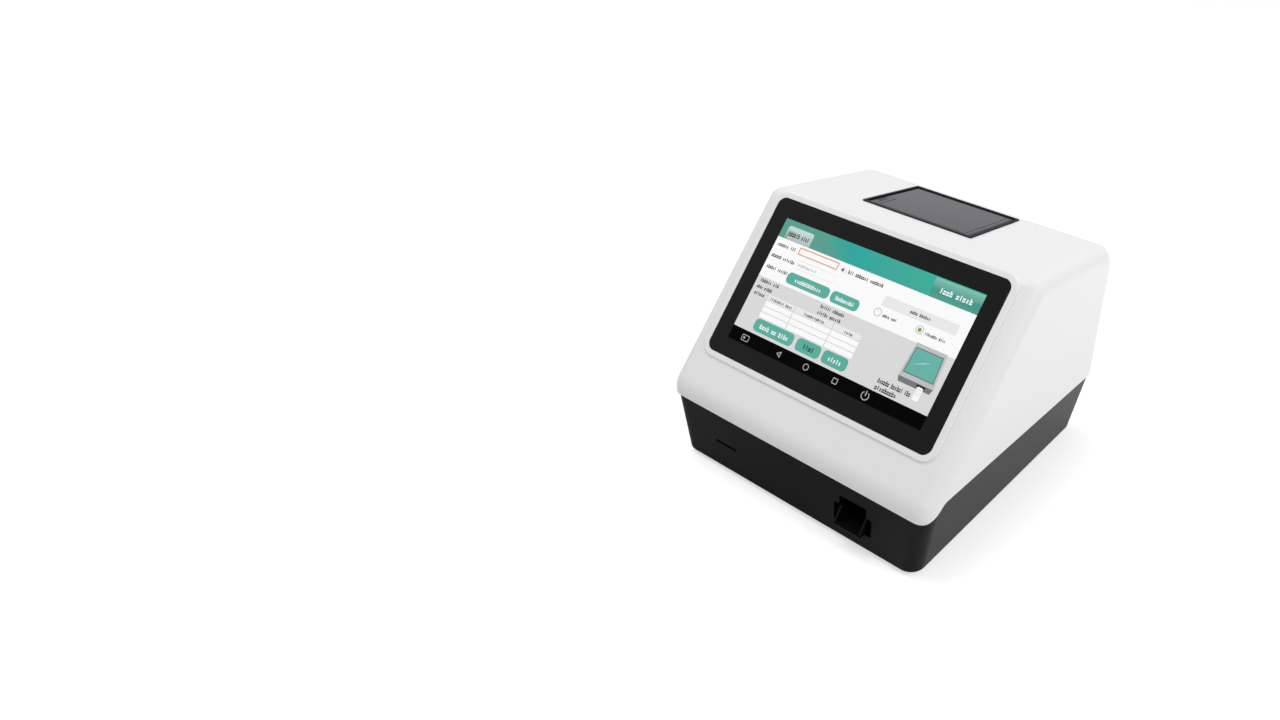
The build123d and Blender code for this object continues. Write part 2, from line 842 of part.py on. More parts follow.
with BuildPart() as tray_motor:
    with BuildSketch(Plane.XZ.offset(-motor_y)):
        with Locations((mouth_x, rod_z)):
            Circle(motor_radius)
    extrude(amount=-motor_length)
    fillet(tray_motor.edges().filter_by(GeomType.CIRCLE), 0.8)
    with BuildSketch(Plane.XZ.offset(-motor_y)):
        with Locations((mouth_x, rod_z)):
            Rectangle(30.0, 8.0)
    extrude(amount=-1.2)
    with BuildSketch(Plane.XZ.offset(-motor_y)):
        with Locations((mouth_x, rod_z)):
            Circle(pin_radius)
    extrude(amount=coupler_length / 2 - 1.0)
export(tray_motor.part, "tray_motor")

# Motor bracket stands on the floor of the base and holds the stepper by its flange
with BuildPart() as motor_bracket:
    with BuildSketch(Plane.XZ.offset(-motor_y - 1.2)):
        with Locations((mouth_x, floor_z)):
            Rectangle(30.0, rod_z + 4.0 - floor_z, align=(Align.CENTER, Align.MIN))
        with Locations((mouth_x, rod_z)):
            Circle(motor_radius + fit_gap, mode=Mode.SUBTRACT)
    extrude(amount=-1.5)
    with BuildSketch(Plane.XY.offset(floor_z)):
        with Locations((mouth_x, motor_y + 1.2)):
            Rectangle(30.0, 14.0, align=(Align.CENTER, Align.MIN))
            Rectangle(15.6, 15.0, align=(Align.CENTER, Align.MIN), mode=Mode.SUBTRACT)
    extrude(amount=1.5)
export(motor_bracket.part, "motor_bracket")

with BuildPart() as home_sensor:
    sensor_y = carriage_y + carriage_length / 2
    with BuildSketch(Plane.XY.offset(slide_top_z)):
        with Locations((mouth_x + sensor_offset, sensor_y)):
            Rectangle(sensor_gap + 5.0, 6.0)
    extrude(amount=5.0)
    with BuildSketch(Plane.XY.offset(slide_top_z + 1.5)):
        with Locations((mouth_x + sensor_offset, sensor_y)):
            Rectangle(sensor_gap, 8.0)
    extrude(amount=5.0, mode=Mode.SUBTRACT)
export(home_sensor.part, "home_sensor")

# Optical head above the tray
head_mid_y = front_y + head_y
with BuildPart() as optics_bridge:
    with BuildSketch(Plane.XZ.offset(-head_mid_y - head_length / 2)):
        with BuildLine():
            Polyline(
                (mouth_x - bridge_leg - 8.0, slide_top_z),
                (mouth_x - bridge_leg - 8.0, slide_top_z + bridge_sheet),
                (mouth_x - bridge_leg, slide_top_z + bridge_sheet),
                (mouth_x - bridge_leg, head_z),
                (mouth_x + bridge_leg, head_z),
                (mouth_x + bridge_leg, slide_top_z + bridge_sheet),
                (mouth_x + bridge_leg + 8.0, slide_top_z + bridge_sheet),
                (mouth_x + bridge_leg + 8.0, slide_top_z),
                (mouth_x + bridge_leg - bridge_sheet, slide_top_z),
                (mouth_x + bridge_leg - bridge_sheet, head_z - bridge_sheet),
                (mouth_x - bridge_leg + bridge_sheet, head_z - bridge_sheet),
                (mouth_x - bridge_leg + bridge_sheet, slide_top_z),
                close=True,
            )
        make_face()
    extrude(amount=head_length)
    with BuildSketch(Plane.XY.offset(head_z - bridge_sheet)):
        with Locations((mouth_x - 4.0, head_mid_y)):
            SlotOverall(26.0, 12.0)
    extrude(amount=bridge_sheet, mode=Mode.SUBTRACT)
export(optics_bridge.part, "optics_bridge")

led_axis = Plane(
    origin=(mouth_x, head_mid_y, focus_z),
    x_dir=(0, 1, 0),
    z_dir=(-1, 0, 1),
)
with BuildPart() as optical_head:
    with BuildSketch(Plane.XY.offset(head_z)):
        with Locations((mouth_x, head_mid_y)):
            Rectangle(head_width, head_length)
    extrude(amount=head_height)
    chamfer(optical_head.edges().filter_by(Axis.Z), 1.5)
    with BuildSketch(Plane.XY.offset(head_z)):
        with Locations((mouth_x, head_mid_y)):
            Circle(bore_radius)
    extrude(amount=head_height, mode=Mode.SUBTRACT)
    with BuildSketch(led_axis.offset(8.0)):
        Circle(led_radius + running_gap)
    extrude(amount=60.0, mode=Mode.SUBTRACT)
    with BuildSketch(Plane.XY.offset(head_z + head_height)):
        with Locations(
            (mouth_x - 13.0, head_mid_y - 15.0),
            (mouth_x + 13.0, head_mid_y + 15.0),
        ):
            Circle(screw_shank + running_gap)
    extrude(amount=-6.0, mode=Mode.SUBTRACT)
export(optical_head.part, "optical_head")

with BuildPart() as led_module:
    with BuildSketch(led_axis.offset(led_start)):
        Circle(led_radius)
    extrude(amount=led_length)
    with BuildSketch(led_axis.offset(led_start + led_length)):
        Circle(led_radius + 1.5)
    extrude(amount=3.0)
export(led_module.part, "led_module")

lens_z = head_z + 6.0
lens_curve = (lens_radius**2 + lens_sag**2) / 2 / lens_sag
with BuildPart() as objective_lens:
    for side in (-1, 1):
        with Locations((mouth_x, head_mid_y, lens_z + side * (lens_curve - lens_sag - lens_rim / 2))):
            Sphere(lens_curve, mode=Mode.ADD if side < 0 else Mode.INTERSECT)
    with BuildSketch(Plane.XY.offset(head_z)):
        with Locations((mouth_x, head_mid_y)):
            Circle(lens_radius)
    extrude(amount=head_height, mode=Mode.INTERSECT)
export(objective_lens.part, "objective_lens")

with BuildPart() as emission_filter:
    with BuildSketch(Plane.XY.offset(head_z + head_height - 14.0)):
        with Locations((mouth_x, head_mid_y)):
            Circle(lens_radius)
    extrude(amount=3.0)
export(emission_filter.part, "emission_filter")

detector_z = head_z + head_height
with BuildPart() as detector_board:
    with BuildSketch(Plane.XY.offset(detector_z)):
        with Locations((mouth_x, head_mid_y)):
            Rectangle(head_width - 2.0, head_length - 2.0)
        with Locations(
            (mouth_x - 13.0, head_mid_y - 15.0),
            (mouth_x + 13.0, head_mid_y + 15.0),
        ):
            Circle(screw_shank + 0.2, mode=Mode.SUBTRACT)
    extrude(amount=board_thickness)
    with BuildSketch(Plane.XY.offset(detector_z)):
        with Locations((mouth_x, head_mid_y)):
            Circle(4.0)
    extrude(amount=-4.0)
    with BuildSketch(Plane.XY.offset(detector_z + board_thickness)):
        with Locations((mouth_x, head_mid_y + 10.0)):
            Rectangle(16.0, 6.0)
    extrude(amount=4.0)
export(detector_board.part, "detector_board")

# Reader for the calibration chip behind the narrow front slot
with BuildPart() as chip_board:
    with BuildSketch(Plane.XY.offset(chip_board_z)):
        with Locations((chip_x, inner_face_y + 1.0)):
            Rectangle(44.0, 30.0, align=(Align.CENTER, Align.MIN))
    extrude(amount=board_thickness)
export(chip_board.part, "chip_board")

with BuildPart() as chip_socket:
    with BuildSketch(Plane.XY.offset(chip_board_z + board_thickness)):
        with Locations((chip_x, inner_face_y + fit_gap)):
            Rectangle(
                chip_slot_width + 6.0,
                chip_socket_depth + 2.0,
                align=(Align.CENTER, Align.MIN),
            )
    extrude(amount=8.0)
    fillet(chip_socket.edges().filter_by(Axis.Z), 1.0)
    with BuildSketch(Plane.XZ.offset(-inner_face_y + 1.0)):
        with Locations((chip_x, chip_z)):
            Rectangle(chip_slot_width + 0.4, chip_slot_height)
    extrude(amount=-chip_socket_depth - 1.0, mode=Mode.SUBTRACT)
export(chip_socket.part, "chip_socket")

# Control board on its posts, with the sockets that open at the back
with BuildPart() as board_standoffs:
    with BuildSketch(Plane.XY.offset(floor_z)):
        with Locations(*control_places):
            RegularPolygon(3.0, 6)
    extrude(amount=control_post_height)
export(board_standoffs.part, "board_standoffs")

with BuildPart() as control_board:
    with BuildSketch(Plane.XY.offset(control_board_z)):
        with Locations((control_board_x, control_y)):
            Rectangle(control_board_width, control_board_depth)
    extrude(amount=board_thickness)
    with BuildSketch(Plane.XY.offset(socket_z)):
        with Locations((control_board_x - 20.0, control_y - 8.0)):
            Rectangle(14.0, 14.0)
        with Locations((control_board_x + 26.0, control_y - 12.0)):
            with GridLocations(14.0, 14.0, 2, 2):
                Rectangle(8.0, 6.0)
        with Locations((control_board_x + 10.0, control_y - 36.0)):
            Rectangle(40.0, 6.0)
    extrude(amount=2.2)
    with BuildSketch(Plane.XY.offset(socket_z)):
        with Locations((dc_x + 4.0, control_y + 8.0)):
            with GridLocations(1, 14.0, 1, 3):
                Circle(4.0)
    extrude(amount=11.0)
export(control_board.part, "control_board")

with BuildPart() as board_screws:
    with BuildSketch(Plane.XY.offset(socket_z)):
        with Locations(*control_places):
            Circle(screw_head)
    extrude(amount=screw_head_height)
    with BuildSketch(Plane.XY.offset(slide_top_z)):
        with Locations(*slide_places):
            Circle(screw_head)
    extrude(amount=screw_head_height)
    with BuildSketch(Plane.XY.offset(slide_top_z)):
        with Locations(*slide_places):
            Circle(screw_shank)
    extrude(amount=-slide_sheet - slide_post)
    with BuildSketch(Plane.XY.offset(detector_z + board_thickness)):
        with Locations(
            (mouth_x - 13.0, head_mid_y - 15.0),
            (mouth_x + 13.0, head_mid_y + 15.0),
        ):
            Circle(screw_head - 0.4)
    extrude(amount=screw_head_height)
    with BuildSketch(Plane.XY.offset(detector_z + board_thickness)):
        with Locations(
            (mouth_x - 13.0, head_mid_y - 15.0),
            (mouth_x + 13.0, head_mid_y + 15.0),
        ):
            Circle(screw_shank)
    extrude(amount=-board_thickness - 5.0)
export(board_screws.part, "board_screws")


def socket_face(z):
    """Outer surface of the leaning rear wall at the middle of a socket."""
    return base_section(z, 0)[2] + 0.4


usb_face_y = socket_face(socket_z + 3.5)
with BuildPart() as usb_ports:
    with BuildSketch(Plane.XZ.offset(-usb_face_y)):
        with Locations(*[(x, socket_z + 3.5) for x in usb_x]):
            Rectangle(14.5, 7.0)
    extrude(amount=15.0)
    with BuildSketch(Plane.XZ.offset(-usb_face_y)):
        with Locations(*[(x, socket_z + 3.5) for x in usb_x]):
            Rectangle(12.9, 5.2)
    extrude(amount=10.0, mode=Mode.SUBTRACT)
    with BuildSketch(Plane.XZ.offset(-usb_face_y + 1.5)):
        with Locations(*[(x, socket_z + 4.6) for x in usb_x]):
            Rectangle(11.2, 1.8)
    extrude(amount=9.0)
export(usb_ports.part, "usb_ports")

lan_face_y = socket_face(socket_z + 6.75)
with BuildPart() as lan_port:
    with BuildSketch(Plane.XZ.offset(-lan_face_y)):
        with Locations((lan_x, socket_z + 6.75)):
            Rectangle(16.0, 13.5)
    extrude(amount=21.0)
    with BuildSketch(Plane.XZ.offset(-lan_face_y)):
        with Locations((lan_x, socket_z + 6.2)):
            Rectangle(12.0, 8.0)
        with Locations((lan_x, socket_z + 11.2)):
            Rectangle(4.0, 2.2)
    extrude(amount=13.0, mode=Mode.SUBTRACT)
export(lan_port.part, "lan_port")

dc_face_y = socket_face(socket_z + 5.5)
with BuildPart() as dc_inlet:
    with BuildSketch(Plane.XZ.offset(-dc_face_y)):
        with Locations((dc_x, socket_z + 5.5)):
            Rectangle(9.0, 11.0)
    extrude(amount=14.0)
    with BuildSketch(Plane.XZ.offset(-dc_face_y)):
        with Locations((dc_x, socket_z + 6.0)):
            Circle(3.2)
    extrude(amount=10.0, mode=Mode.SUBTRACT)
    with BuildSketch(Plane.XZ.offset(-dc_face_y + 1.0)):
        with Locations((dc_x, socket_z + 6.0)):
            Circle(1.0)
    extrude(amount=9.0)
export(dc_inlet.part, "dc_inlet")

# Mains-style rocker switch for the low voltage supply, set in the leaning wall
rocker_half = switch_length / 2 - 2.4
rocker_height = switch_height - 4.2
with BuildPart() as switch_housing:
    with BuildSketch(back_plane):
        RectangleRounded(switch_length, switch_height, 1.2)
    extrude(amount=1.6)
    with BuildSketch(back_plane):
        Rectangle(switch_length - 2.4, switch_height - 2.4)
    extrude(amount=-switch_depth)
    with BuildSketch(back_plane.offset(1.6)):
        Rectangle(2 * rocker_half + 1.4, rocker_height + 0.6)
    extrude(amount=-1.6 - 7.0, mode=Mode.SUBTRACT)
    with BuildSketch(Plane(back_plane.origin, x_dir=(1, 0, 0), z_dir=back_plane.y_dir)):
        Circle(pin_radius + running_gap)
    extrude(amount=rocker_height / 2 + 0.7, both=True, mode=Mode.SUBTRACT)
    with BuildSketch(back_plane.offset(-switch_depth)):
        with GridLocations(7.0, 1, 2, 1):
            Rectangle(0.8, 6.3)
    extrude(amount=-8.0)
export(switch_housing.part, "switch_housing")

rocker_plane = Plane(back_plane.origin, x_dir=(-1, 0, 0), z_dir=-back_plane.y_dir)
with BuildPart() as power_rocker:
    with BuildSketch(rocker_plane.rotated((0, 0, rocker_tilt))):
        with BuildLine():
            Polyline(
                (-rocker_half, -rocker_depth),
                (rocker_half, -rocker_depth),
                (rocker_half, rocker_crest),
                (0, rocker_crest / 2),
                (-rocker_half, rocker_crest),
                close=True,
            )
        make_face()
    extrude(amount=rocker_height / 2, both=True)
    with BuildSketch(rocker_plane):
        Circle(pin_radius)
    extrude(amount=rocker_height / 2 + 0.6, both=True)
export(power_rocker.part, "power_rocker")

# Speaker over its grille, feet and the long casing screws
with BuildPart() as speaker:
    with BuildSketch(Plane.XY.offset(floor_z)):
        with Locations((speaker_x, speaker_y)):
            Circle(speaker_radius)
    extrude(amount=2.5)
    with BuildSketch(Plane.XY.offset(floor_z + 2.5)):
        with Locations((speaker_x, speaker_y)):
            Circle(speaker_radius - 4.0)
    extrude(amount=speaker_height - 2.5)
export(speaker.part, "speaker")

with BuildPart() as rubber_feet:
    with BuildSketch(Plane.XY.offset(rim_z + foot_recess)):
        with Locations(*foot_places):
            Circle(foot_radius)
    extrude(amount=-foot_recess - foot_proud)
    fillet(rubber_feet.edges().filter_by(GeomType.CIRCLE).group_by(Axis.Z)[0], 0.8)
export(rubber_feet.part, "rubber_feet")

with BuildPart() as case_screws:
    with BuildSketch(Plane.XY.offset(post_top_z - 10.0)):
        with Locations(*post_places):
            Circle(screw_head)
    extrude(amount=-screw_head_height)
    with BuildSketch(Plane.XY.offset(post_top_z - 10.0)):
        with Locations(*post_places):
            Circle(screw_shank)
    extrude(amount=20.0)
export(case_screws.part, "case_screws")

# Printer: bezel and bucket
bezel_in_left = -bezel_length / 2 + bezel_border
bezel_in_right = bezel_length / 2 - bezel_border
bezel_in_half = bezel_width / 2 - bezel_border - 0.3
neck_length = bezel_length - 2 * bezel_flange
neck_width = bezel_width - 2 * bezel_flange
bucket_in_half = neck_width / 2 - bucket_wall
bucket_in_end = neck_length / 2 - bucket_wall
bucket_top = -bezel_neck
with BuildPart() as printer_bezel:
    with BuildSketch(printer_plane):
        RectangleRounded(bezel_length, bezel_width, bezel_radius)
    extrude(amount=bezel_flange)
    chamfer(printer_bezel.faces().sort_by(Axis.Z)[-1].edges(), 0.3)
    with BuildSketch(printer_plane):
        Rectangle(neck_length, neck_width)
    extrude(amount=-bezel_neck)
    with BuildSketch(printer_plane.offset(wall)):
        Rectangle(bezel_in_right - bezel_in_left, 2 * bezel_in_half)
    extrude(amount=-3 * wall, mode=Mode.SUBTRACT)
    tooth = 1.4
    tooth_count = int(2 * (partition_v - 2.0) / tooth)
    with BuildSketch(printer_plane):
        with Locations((bezel_in_left, 0)):
            with GridLocations(1, tooth, 1, tooth_count):
                Triangle(a=tooth, b=1.1, c=1.1, rotation=-90, align=(Align.CENTER, Align.CENTER))
    extrude(amount=bezel_flange)
export(printer_bezel.part, "printer_bezel")

with BuildSketch(Plane.XY) as bay_outline:
    with Locations((0, bucket_top)):
        Rectangle(2 * bucket_in_end, bay_depth - bezel_neck, align=(Align.CENTER, Align.MAX))
    with Locations((roll_u, roll_w)):
        Circle(roll_bay_radius)
    with Locations((-bucket_in_end, bucket_top)):
        Rectangle(
            bucket_in_end + drive_bay_end,
            drive_bay_depth - bezel_neck,
            align=(Align.MIN, Align.MAX),
        )
with BuildSketch(Plane.XY) as bucket_outline:
    add(bay_outline.sketch)
    offset(amount=bucket_wall, kind=Kind.INTERSECTION, mode=Mode.REPLACE)
    with Locations((0, bucket_top)):
        Rectangle(4 * bezel_length, bezel_length, align=(Align.CENTER, Align.MIN), mode=Mode.SUBTRACT)
with BuildSketch(Plane.XY) as cheek_outline:
    add(bay_outline.sketch)
    offset(amount=bucket_wall / 2, kind=Kind.INTERSECTION, mode=Mode.REPLACE)

idler_w = platen_w - (platen_teeth + idler_teeth) * gear_module / 2 - gear_slack
pinion_reach = ((idler_teeth + pinion_teeth) * gear_module / 2 + gear_slack) * math.sqrt(0.5)
pinion_u = platen_u + pinion_reach
pinion_w = idler_w - pinion_reach
motor_plate_v = gear_v - 1.5
plate_top_w = platen_w - platen_radius - 1.2
with BuildPart() as printer_bucket:
    with BuildSketch(printer_section(neck_width / 2)):
        add(bucket_outline.sketch)
    extrude(amount=neck_width)
    with BuildSketch(printer_section(bucket_in_half)):
        add(bay_outline.sketch)
    extrude(amount=2 * bucket_in_half, mode=Mode.SUBTRACT)
    for v in (partition_v + 1.2, -partition_v):
        with BuildSketch(printer_section(v)):
            with Locations((roll_u, -bay_depth / 2)):
                Rectangle(48.0, 60.0, align=(Align.CENTER, Align.MAX))
            add(cheek_outline.sketch, mode=Mode.INTERSECT)
        extrude(amount=1.2)
    with BuildSketch(printer_section(motor_plate_v + 1.2)):
        with Locations(((drive_bay_end - bucket_in_end) / 2, plate_top_w)):
            Rectangle(
                bucket_in_end + drive_bay_end + 1.0,
                drive_bay_depth + plate_top_w + 1.0,
                align=(Align.CENTER, Align.MAX),
            )
        with Locations((pinion_u, pinion_w)):
            Circle(2.2, mode=Mode.SUBTRACT)
    extrude(amount=1.2)
    with BuildSketch(printer_section(neck_width / 2)):
        with Locations((hinge_u, hinge_w)):
            Circle(pin_radius + running_gap)
    extrude(amount=neck_width, mode=Mode.SUBTRACT)
    with BuildSketch(printer_section(neck_width / 2)):
        with Locations((platen_u, idler_w)):
            Circle(pin_radius)
    extrude(amount=neck_width / 2 - motor_plate_v, mode=Mode.SUBTRACT)
export(printer_bucket.part, "printer_bucket")

# Printer lid with its hinge barrel, platen ears and the notch for the release tab
lid_left = bezel_in_left + paper_gap
lid_half = bezel_in_half - 0.4
tab_left = lid_left + 0.2
tab_pivot_u = tab_left + tab_length - lid_thickness / 2
tab_pivot_w = -lid_thickness / 2
with BuildPart() as printer_lid:
    with BuildSketch(printer_section(lid_half)):
        with BuildLine():
            Polyline(
                (lid_left, 0),
                (hinge_u, 0),
                (hinge_u, -lid_thickness),
                (lid_left, -lid_thickness),
                close=True,
            )
        make_face()
        with Locations((hinge_u, hinge_w)):
            Circle(hinge_radius)
    extrude(amount=2 * lid_half)
    with BuildSketch(printer_plane):
        with Locations((tab_left - 1.0, tab_v)):
            Rectangle(
                tab_length + 1.3,
                tab_width + 0.6,
                align=(Align.MIN, Align.CENTER),
            )
    extrude(amount=-lid_thickness, mode=Mode.SUBTRACT)
    for v in (ear_inner_v + 1.6, -ear_inner_v):
        with BuildSketch(printer_section(v)):
            with BuildLine():
                Polyline(
                    (platen_u - 3.6, -lid_thickness),
                    (platen_u + 6.0, -lid_thickness),
                    (platen_u + 2.6, platen_w),
                    (platen_u - 2.6, platen_w),
                    close=True,
                )
            make_face()
            with Locations((platen_u, platen_w)):
                Circle(3.0)
        extrude(amount=1.6)
    for v in (-22.0, 0.0, 22.0):
        with BuildSketch(printer_section(v + 0.6)):
            with Locations((4.0, -lid_thickness)):
                Trapezoid(60.0, 1.4, 60.0, rotation=180, align=(Align.CENTER, Align.MIN))
        extrude(amount=1.2)
    with BuildSketch(printer_section(bezel_width)):
        with Locations((platen_u, platen_w)):
            Circle(shaft_radius + running_gap)
        with Locations((hinge_u, hinge_w)):
            Circle(pin_radius + running_gap)
    extrude(amount=2 * bezel_width, mode=Mode.SUBTRACT)
    with BuildSketch(printer_section(tab_v + tab_width / 2 + 3.0)):
        with Locations((tab_pivot_u, tab_pivot_w)):
            Circle(0.5)
    extrude(amount=tab_width + 6.0, mode=Mode.SUBTRACT)
export(printer_lid.part, "printer_lid")

with BuildPart() as lid_hinge_pin:
    with BuildSketch(printer_section(neck_width / 2)):
        with Locations((hinge_u, hinge_w)):
            Circle(pin_radius)
    extrude(amount=neck_width)
export(lid_hinge_pin.part, "lid_hinge_pin")

with BuildPart() as release_tab:
    with BuildSketch(printer_section(tab_v + tab_width / 2)):
        with BuildLine():
            Polyline(
                (tab_left, 0),
                (tab_pivot_u, 0),
                (tab_pivot_u, -lid_thickness),
                (tab_left, -lid_thickness),
                close=True,
            )
        make_face()
        with Locations((tab_pivot_u, tab_pivot_w)):
            Circle(lid_thickness / 2)
    extrude(amount=tab_width)
    with BuildSketch(printer_plane):
        with Locations((tab_left + 2.6, tab_v)):
            with GridLocations(1.6, 1, 3, 1):
                Rectangle(0.7, tab_width - 5.0)
    extrude(amount=-0.4, mode=Mode.SUBTRACT)
    with BuildSketch(printer_section(tab_v + tab_width / 2)):
        with Locations((tab_pivot_u, tab_pivot_w)):
            Circle(0.5 + running_gap)
    extrude(amount=tab_width, mode=Mode.SUBTRACT)
export(release_tab.part, "release_tab")

with BuildPart() as tab_pin:
    with BuildSketch(printer_section(tab_v + tab_width / 2 + 3.0)):
        with Locations((tab_pivot_u, tab_pivot_w)):
            Circle(0.5)
    extrude(amount=tab_width + 6.0)
export(tab_pin.part, "tab_pin")

# Platen and its gear train
gear_pressure = math.radians(20)


def involute(angle):
    """Involute function of a pressure angle."""
    return math.tan(angle) - angle


def gear_points(u, w, teeth, phase_deg):
    """Outline of an involute spur gear about (U, W) with a tooth centred on the phase angle."""
    pitch = teeth * gear_module / 2
    base = pitch * math.cos(gear_pressure)
    tip = pitch + 0.8 * gear_module
    root = pitch - 1.15 * gear_module
    half = math.pi / 2 / teeth - gear_slack / 2 / pitch
    start = max(base, root)
    flank = []
    for step in range(3):
        radius = start + (tip - start) * step / 2
        angle = math.acos(min(1.0, base / radius))
        flank.append((radius, half + involute(gear_pressure) - involute(angle)))
    if root < base:
        flank.insert(0, (root, flank[0][1]))
    points = []
    for tooth_number in range(teeth):
        middle = math.radians(phase_deg) + 2 * math.pi * tooth_number / teeth
        sides = [(r, middle - a) for r, a in flank] + [(r, middle + a) for r, a in flank[::-1]]
        points += [(u + r * math.cos(angle), w + r * math.sin(angle)) for r, angle in sides]
    return points


def gear(u, w, teeth, phase_deg, bore, hub):
    """A spur gear of the feed train, with its bore and a hub collar."""
    with BuildPart() as wheel:
        with BuildSketch(printer_section(gear_v + gear_width)):
            with BuildLine():
                Polyline(*gear_points(u, w, teeth, phase_deg), close=True)
            make_face()
        extrude(amount=gear_width)
        with BuildSketch(printer_section(gear_v + gear_width)):
            with Locations((u, w)):
                Circle(bore)
        extrude(amount=gear_width, mode=Mode.SUBTRACT)
        if hub > 0:
            with BuildSketch(printer_section(gear_v + gear_width)):
                with Locations((u, w)):
                    Circle(hub + 1.0)
                    Circle(hub, mode=Mode.SUBTRACT)
            extrude(amount=0.5, mode=Mode.SUBTRACT)
    return wheel.part


platen_gear = gear(platen_u, platen_w, platen_teeth, -90.0, shaft_radius, 2.6)
export(platen_gear, "platen_gear")
idler_gear = gear(
    platen_u, idler_w, idler_teeth, 90.0 + 180.0 / idler_teeth, pin_radius + running_gap, 3.0
)
export(idler_gear, "idler_gear")
motor_pinion = gear(pinion_u, pinion_w, pinion_teeth, 135.0, 0.75, 0)
export(motor_pinion, "motor_pinion")

with BuildPart() as platen_roller:
    with BuildSketch(printer_section(platen_length / 2)):
        with Locations((platen_u, platen_w)):
            Circle(platen_radius)
            Circle(shaft_radius, mode=Mode.SUBTRACT)
    extrude(amount=platen_length)
export(platen_roller.part, "platen_roller")

with BuildPart() as platen_shaft:
    with BuildSketch(printer_section(gear_v + gear_width + 0.4)):
        with Locations((platen_u, platen_w)):
            Circle(shaft_radius)
    extrude(amount=gear_v + gear_width + 0.4 + ear_inner_v + 2.4)
    chamfer(platen_shaft.edges().filter_by(GeomType.CIRCLE), 0.3)
export(platen_shaft.part, "platen_shaft")

with BuildPart() as idler_pin:
    with BuildSketch(printer_section(neck_width / 2)):
        with Locations((platen_u, idler_w)):
            Circle(pin_radius)
    extrude(amount=neck_width / 2 - motor_plate_v)
export(idler_pin.part, "idler_pin")

with BuildPart() as feed_motor:
    with BuildSketch(printer_section(motor_plate_v)):
        with Locations((pinion_u, pinion_w)):
            Circle(feed_motor_radius)
    extrude(amount=feed_motor_length)
    with BuildSketch(printer_section(gear_v + gear_width)):
        with Locations((pinion_u, pinion_w)):
            Circle(0.75 - running_gap)
    extrude(amount=gear_v + gear_width - motor_plate_v)
export(feed_motor.part, "feed_motor")

# Thermal head beside the platen, pressed on by a bowed leaf spring
head_face_u = platen_u - platen_radius - head_gap
head_back_u = head_face_u - 2.9
with BuildPart() as print_head:
    with BuildSketch(printer_section(platen_length / 2 - 1.0)):
        with Locations((head_back_u, platen_w + 4.0)):
            Rectangle(1.9, 14.0, align=(Align.MIN, Align.MAX))
        with Locations((head_back_u + 1.9, platen_w + 3.0)):
            Rectangle(1.0, 7.0, align=(Align.MIN, Align.MAX))
    extrude(amount=platen_length - 2.0)
export(print_head.part, "print_head")

spring_room = head_back_u + bucket_in_end
with BuildPart() as head_spring:
    with BuildSketch(printer_plane.offset(platen_w + 1.0)) as bow:
        with BuildLine():
            ThreePointArc(
                (-bucket_in_end + 0.05, -20.0),
                (head_back_u - 0.35, 0),
                (-bucket_in_end + 0.05, 20.0),
            )
            Line((-bucket_in_end + 0.05, 20.0), (-bucket_in_end + 0.3, 20.0))
            ThreePointArc(
                (-bucket_in_end + 0.3, 20.0),
                (head_back_u - 0.1, 0),
                (-bucket_in_end + 0.3, -20.0),
            )
            Line((-bucket_in_end + 0.3, -20.0), (-bucket_in_end + 0.05, -20.0))
        make_face()
    extrude(amount=-6.0)
export(head_spring.part, "head_spring")
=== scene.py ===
# %% [markdown]
# # Bench immunofluorescence analyzer
# A wedge-shaped white casing carries a sloping touch screen and stands on a dark base. A cassette
# tray slides out of a mouth in the front, and a ticket printer sits under a small lid in the roof.
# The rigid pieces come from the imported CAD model. This script gives them their finishes, draws the
# picture on the screen, adds the fine repeated parts and sets up the light and the camera. Blender
# works in metres, and the instrument's sizes below are in millimetres, so one factor joins them.

import bpy
import bmesh
import json
import math
from collections import defaultdict
from mathutils import Matrix, Vector


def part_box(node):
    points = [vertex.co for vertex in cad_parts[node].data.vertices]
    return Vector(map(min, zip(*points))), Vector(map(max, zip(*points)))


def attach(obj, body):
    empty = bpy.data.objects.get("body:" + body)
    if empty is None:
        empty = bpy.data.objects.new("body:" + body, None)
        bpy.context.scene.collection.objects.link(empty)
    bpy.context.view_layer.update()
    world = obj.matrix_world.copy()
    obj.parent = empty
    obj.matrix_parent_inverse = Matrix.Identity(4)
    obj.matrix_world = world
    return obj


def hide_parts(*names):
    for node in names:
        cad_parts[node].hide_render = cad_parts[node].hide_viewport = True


MM = 0.001
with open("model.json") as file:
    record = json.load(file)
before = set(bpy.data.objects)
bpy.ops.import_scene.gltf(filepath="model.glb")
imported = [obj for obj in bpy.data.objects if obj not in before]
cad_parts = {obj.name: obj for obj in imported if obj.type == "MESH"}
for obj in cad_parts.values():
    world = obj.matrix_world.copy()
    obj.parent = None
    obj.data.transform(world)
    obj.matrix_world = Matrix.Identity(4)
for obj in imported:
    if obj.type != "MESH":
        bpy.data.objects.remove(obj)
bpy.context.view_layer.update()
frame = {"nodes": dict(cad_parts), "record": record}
scene = bpy.context.scene
scene.view_settings.view_transform = "Standard"

# %% [markdown]
# ## Places on the instrument
# The picture lies on the screen's glass and the fine lines on the printer's lid. Each of the two
# gets a matrix whose X runs to the right, Y up the surface and Z out of it, read from the CAD
# piece's upper face. What is added is drawn flat in millimetres and then placed by that matrix.

# %% Matrices for the screen and the lid
SCREEN_SLOPE = math.radians(48.5)
ROOF_TILT = math.radians(4.06)
FACE_WITHIN = 0.02


def corner_box(points):
    """Lowest and highest corner of the box round some points."""
    return [Vector([pick(point[i] for point in points) for i in range(3)]) for pick in (min, max)]


def face_box(name, tilt):
    """The box of a flat CAD piece's upper face, in axes that rise to the back by a tilt."""
    turn = Matrix.Rotation(tilt, 3, "X")
    corners = [turn.inverted() @ v.co for v in frame["nodes"][name].data.vertices]
    top = max(corner.z for corner in corners)
    return corner_box([corner for corner in corners if corner.z > top - FACE_WITHIN * MM])


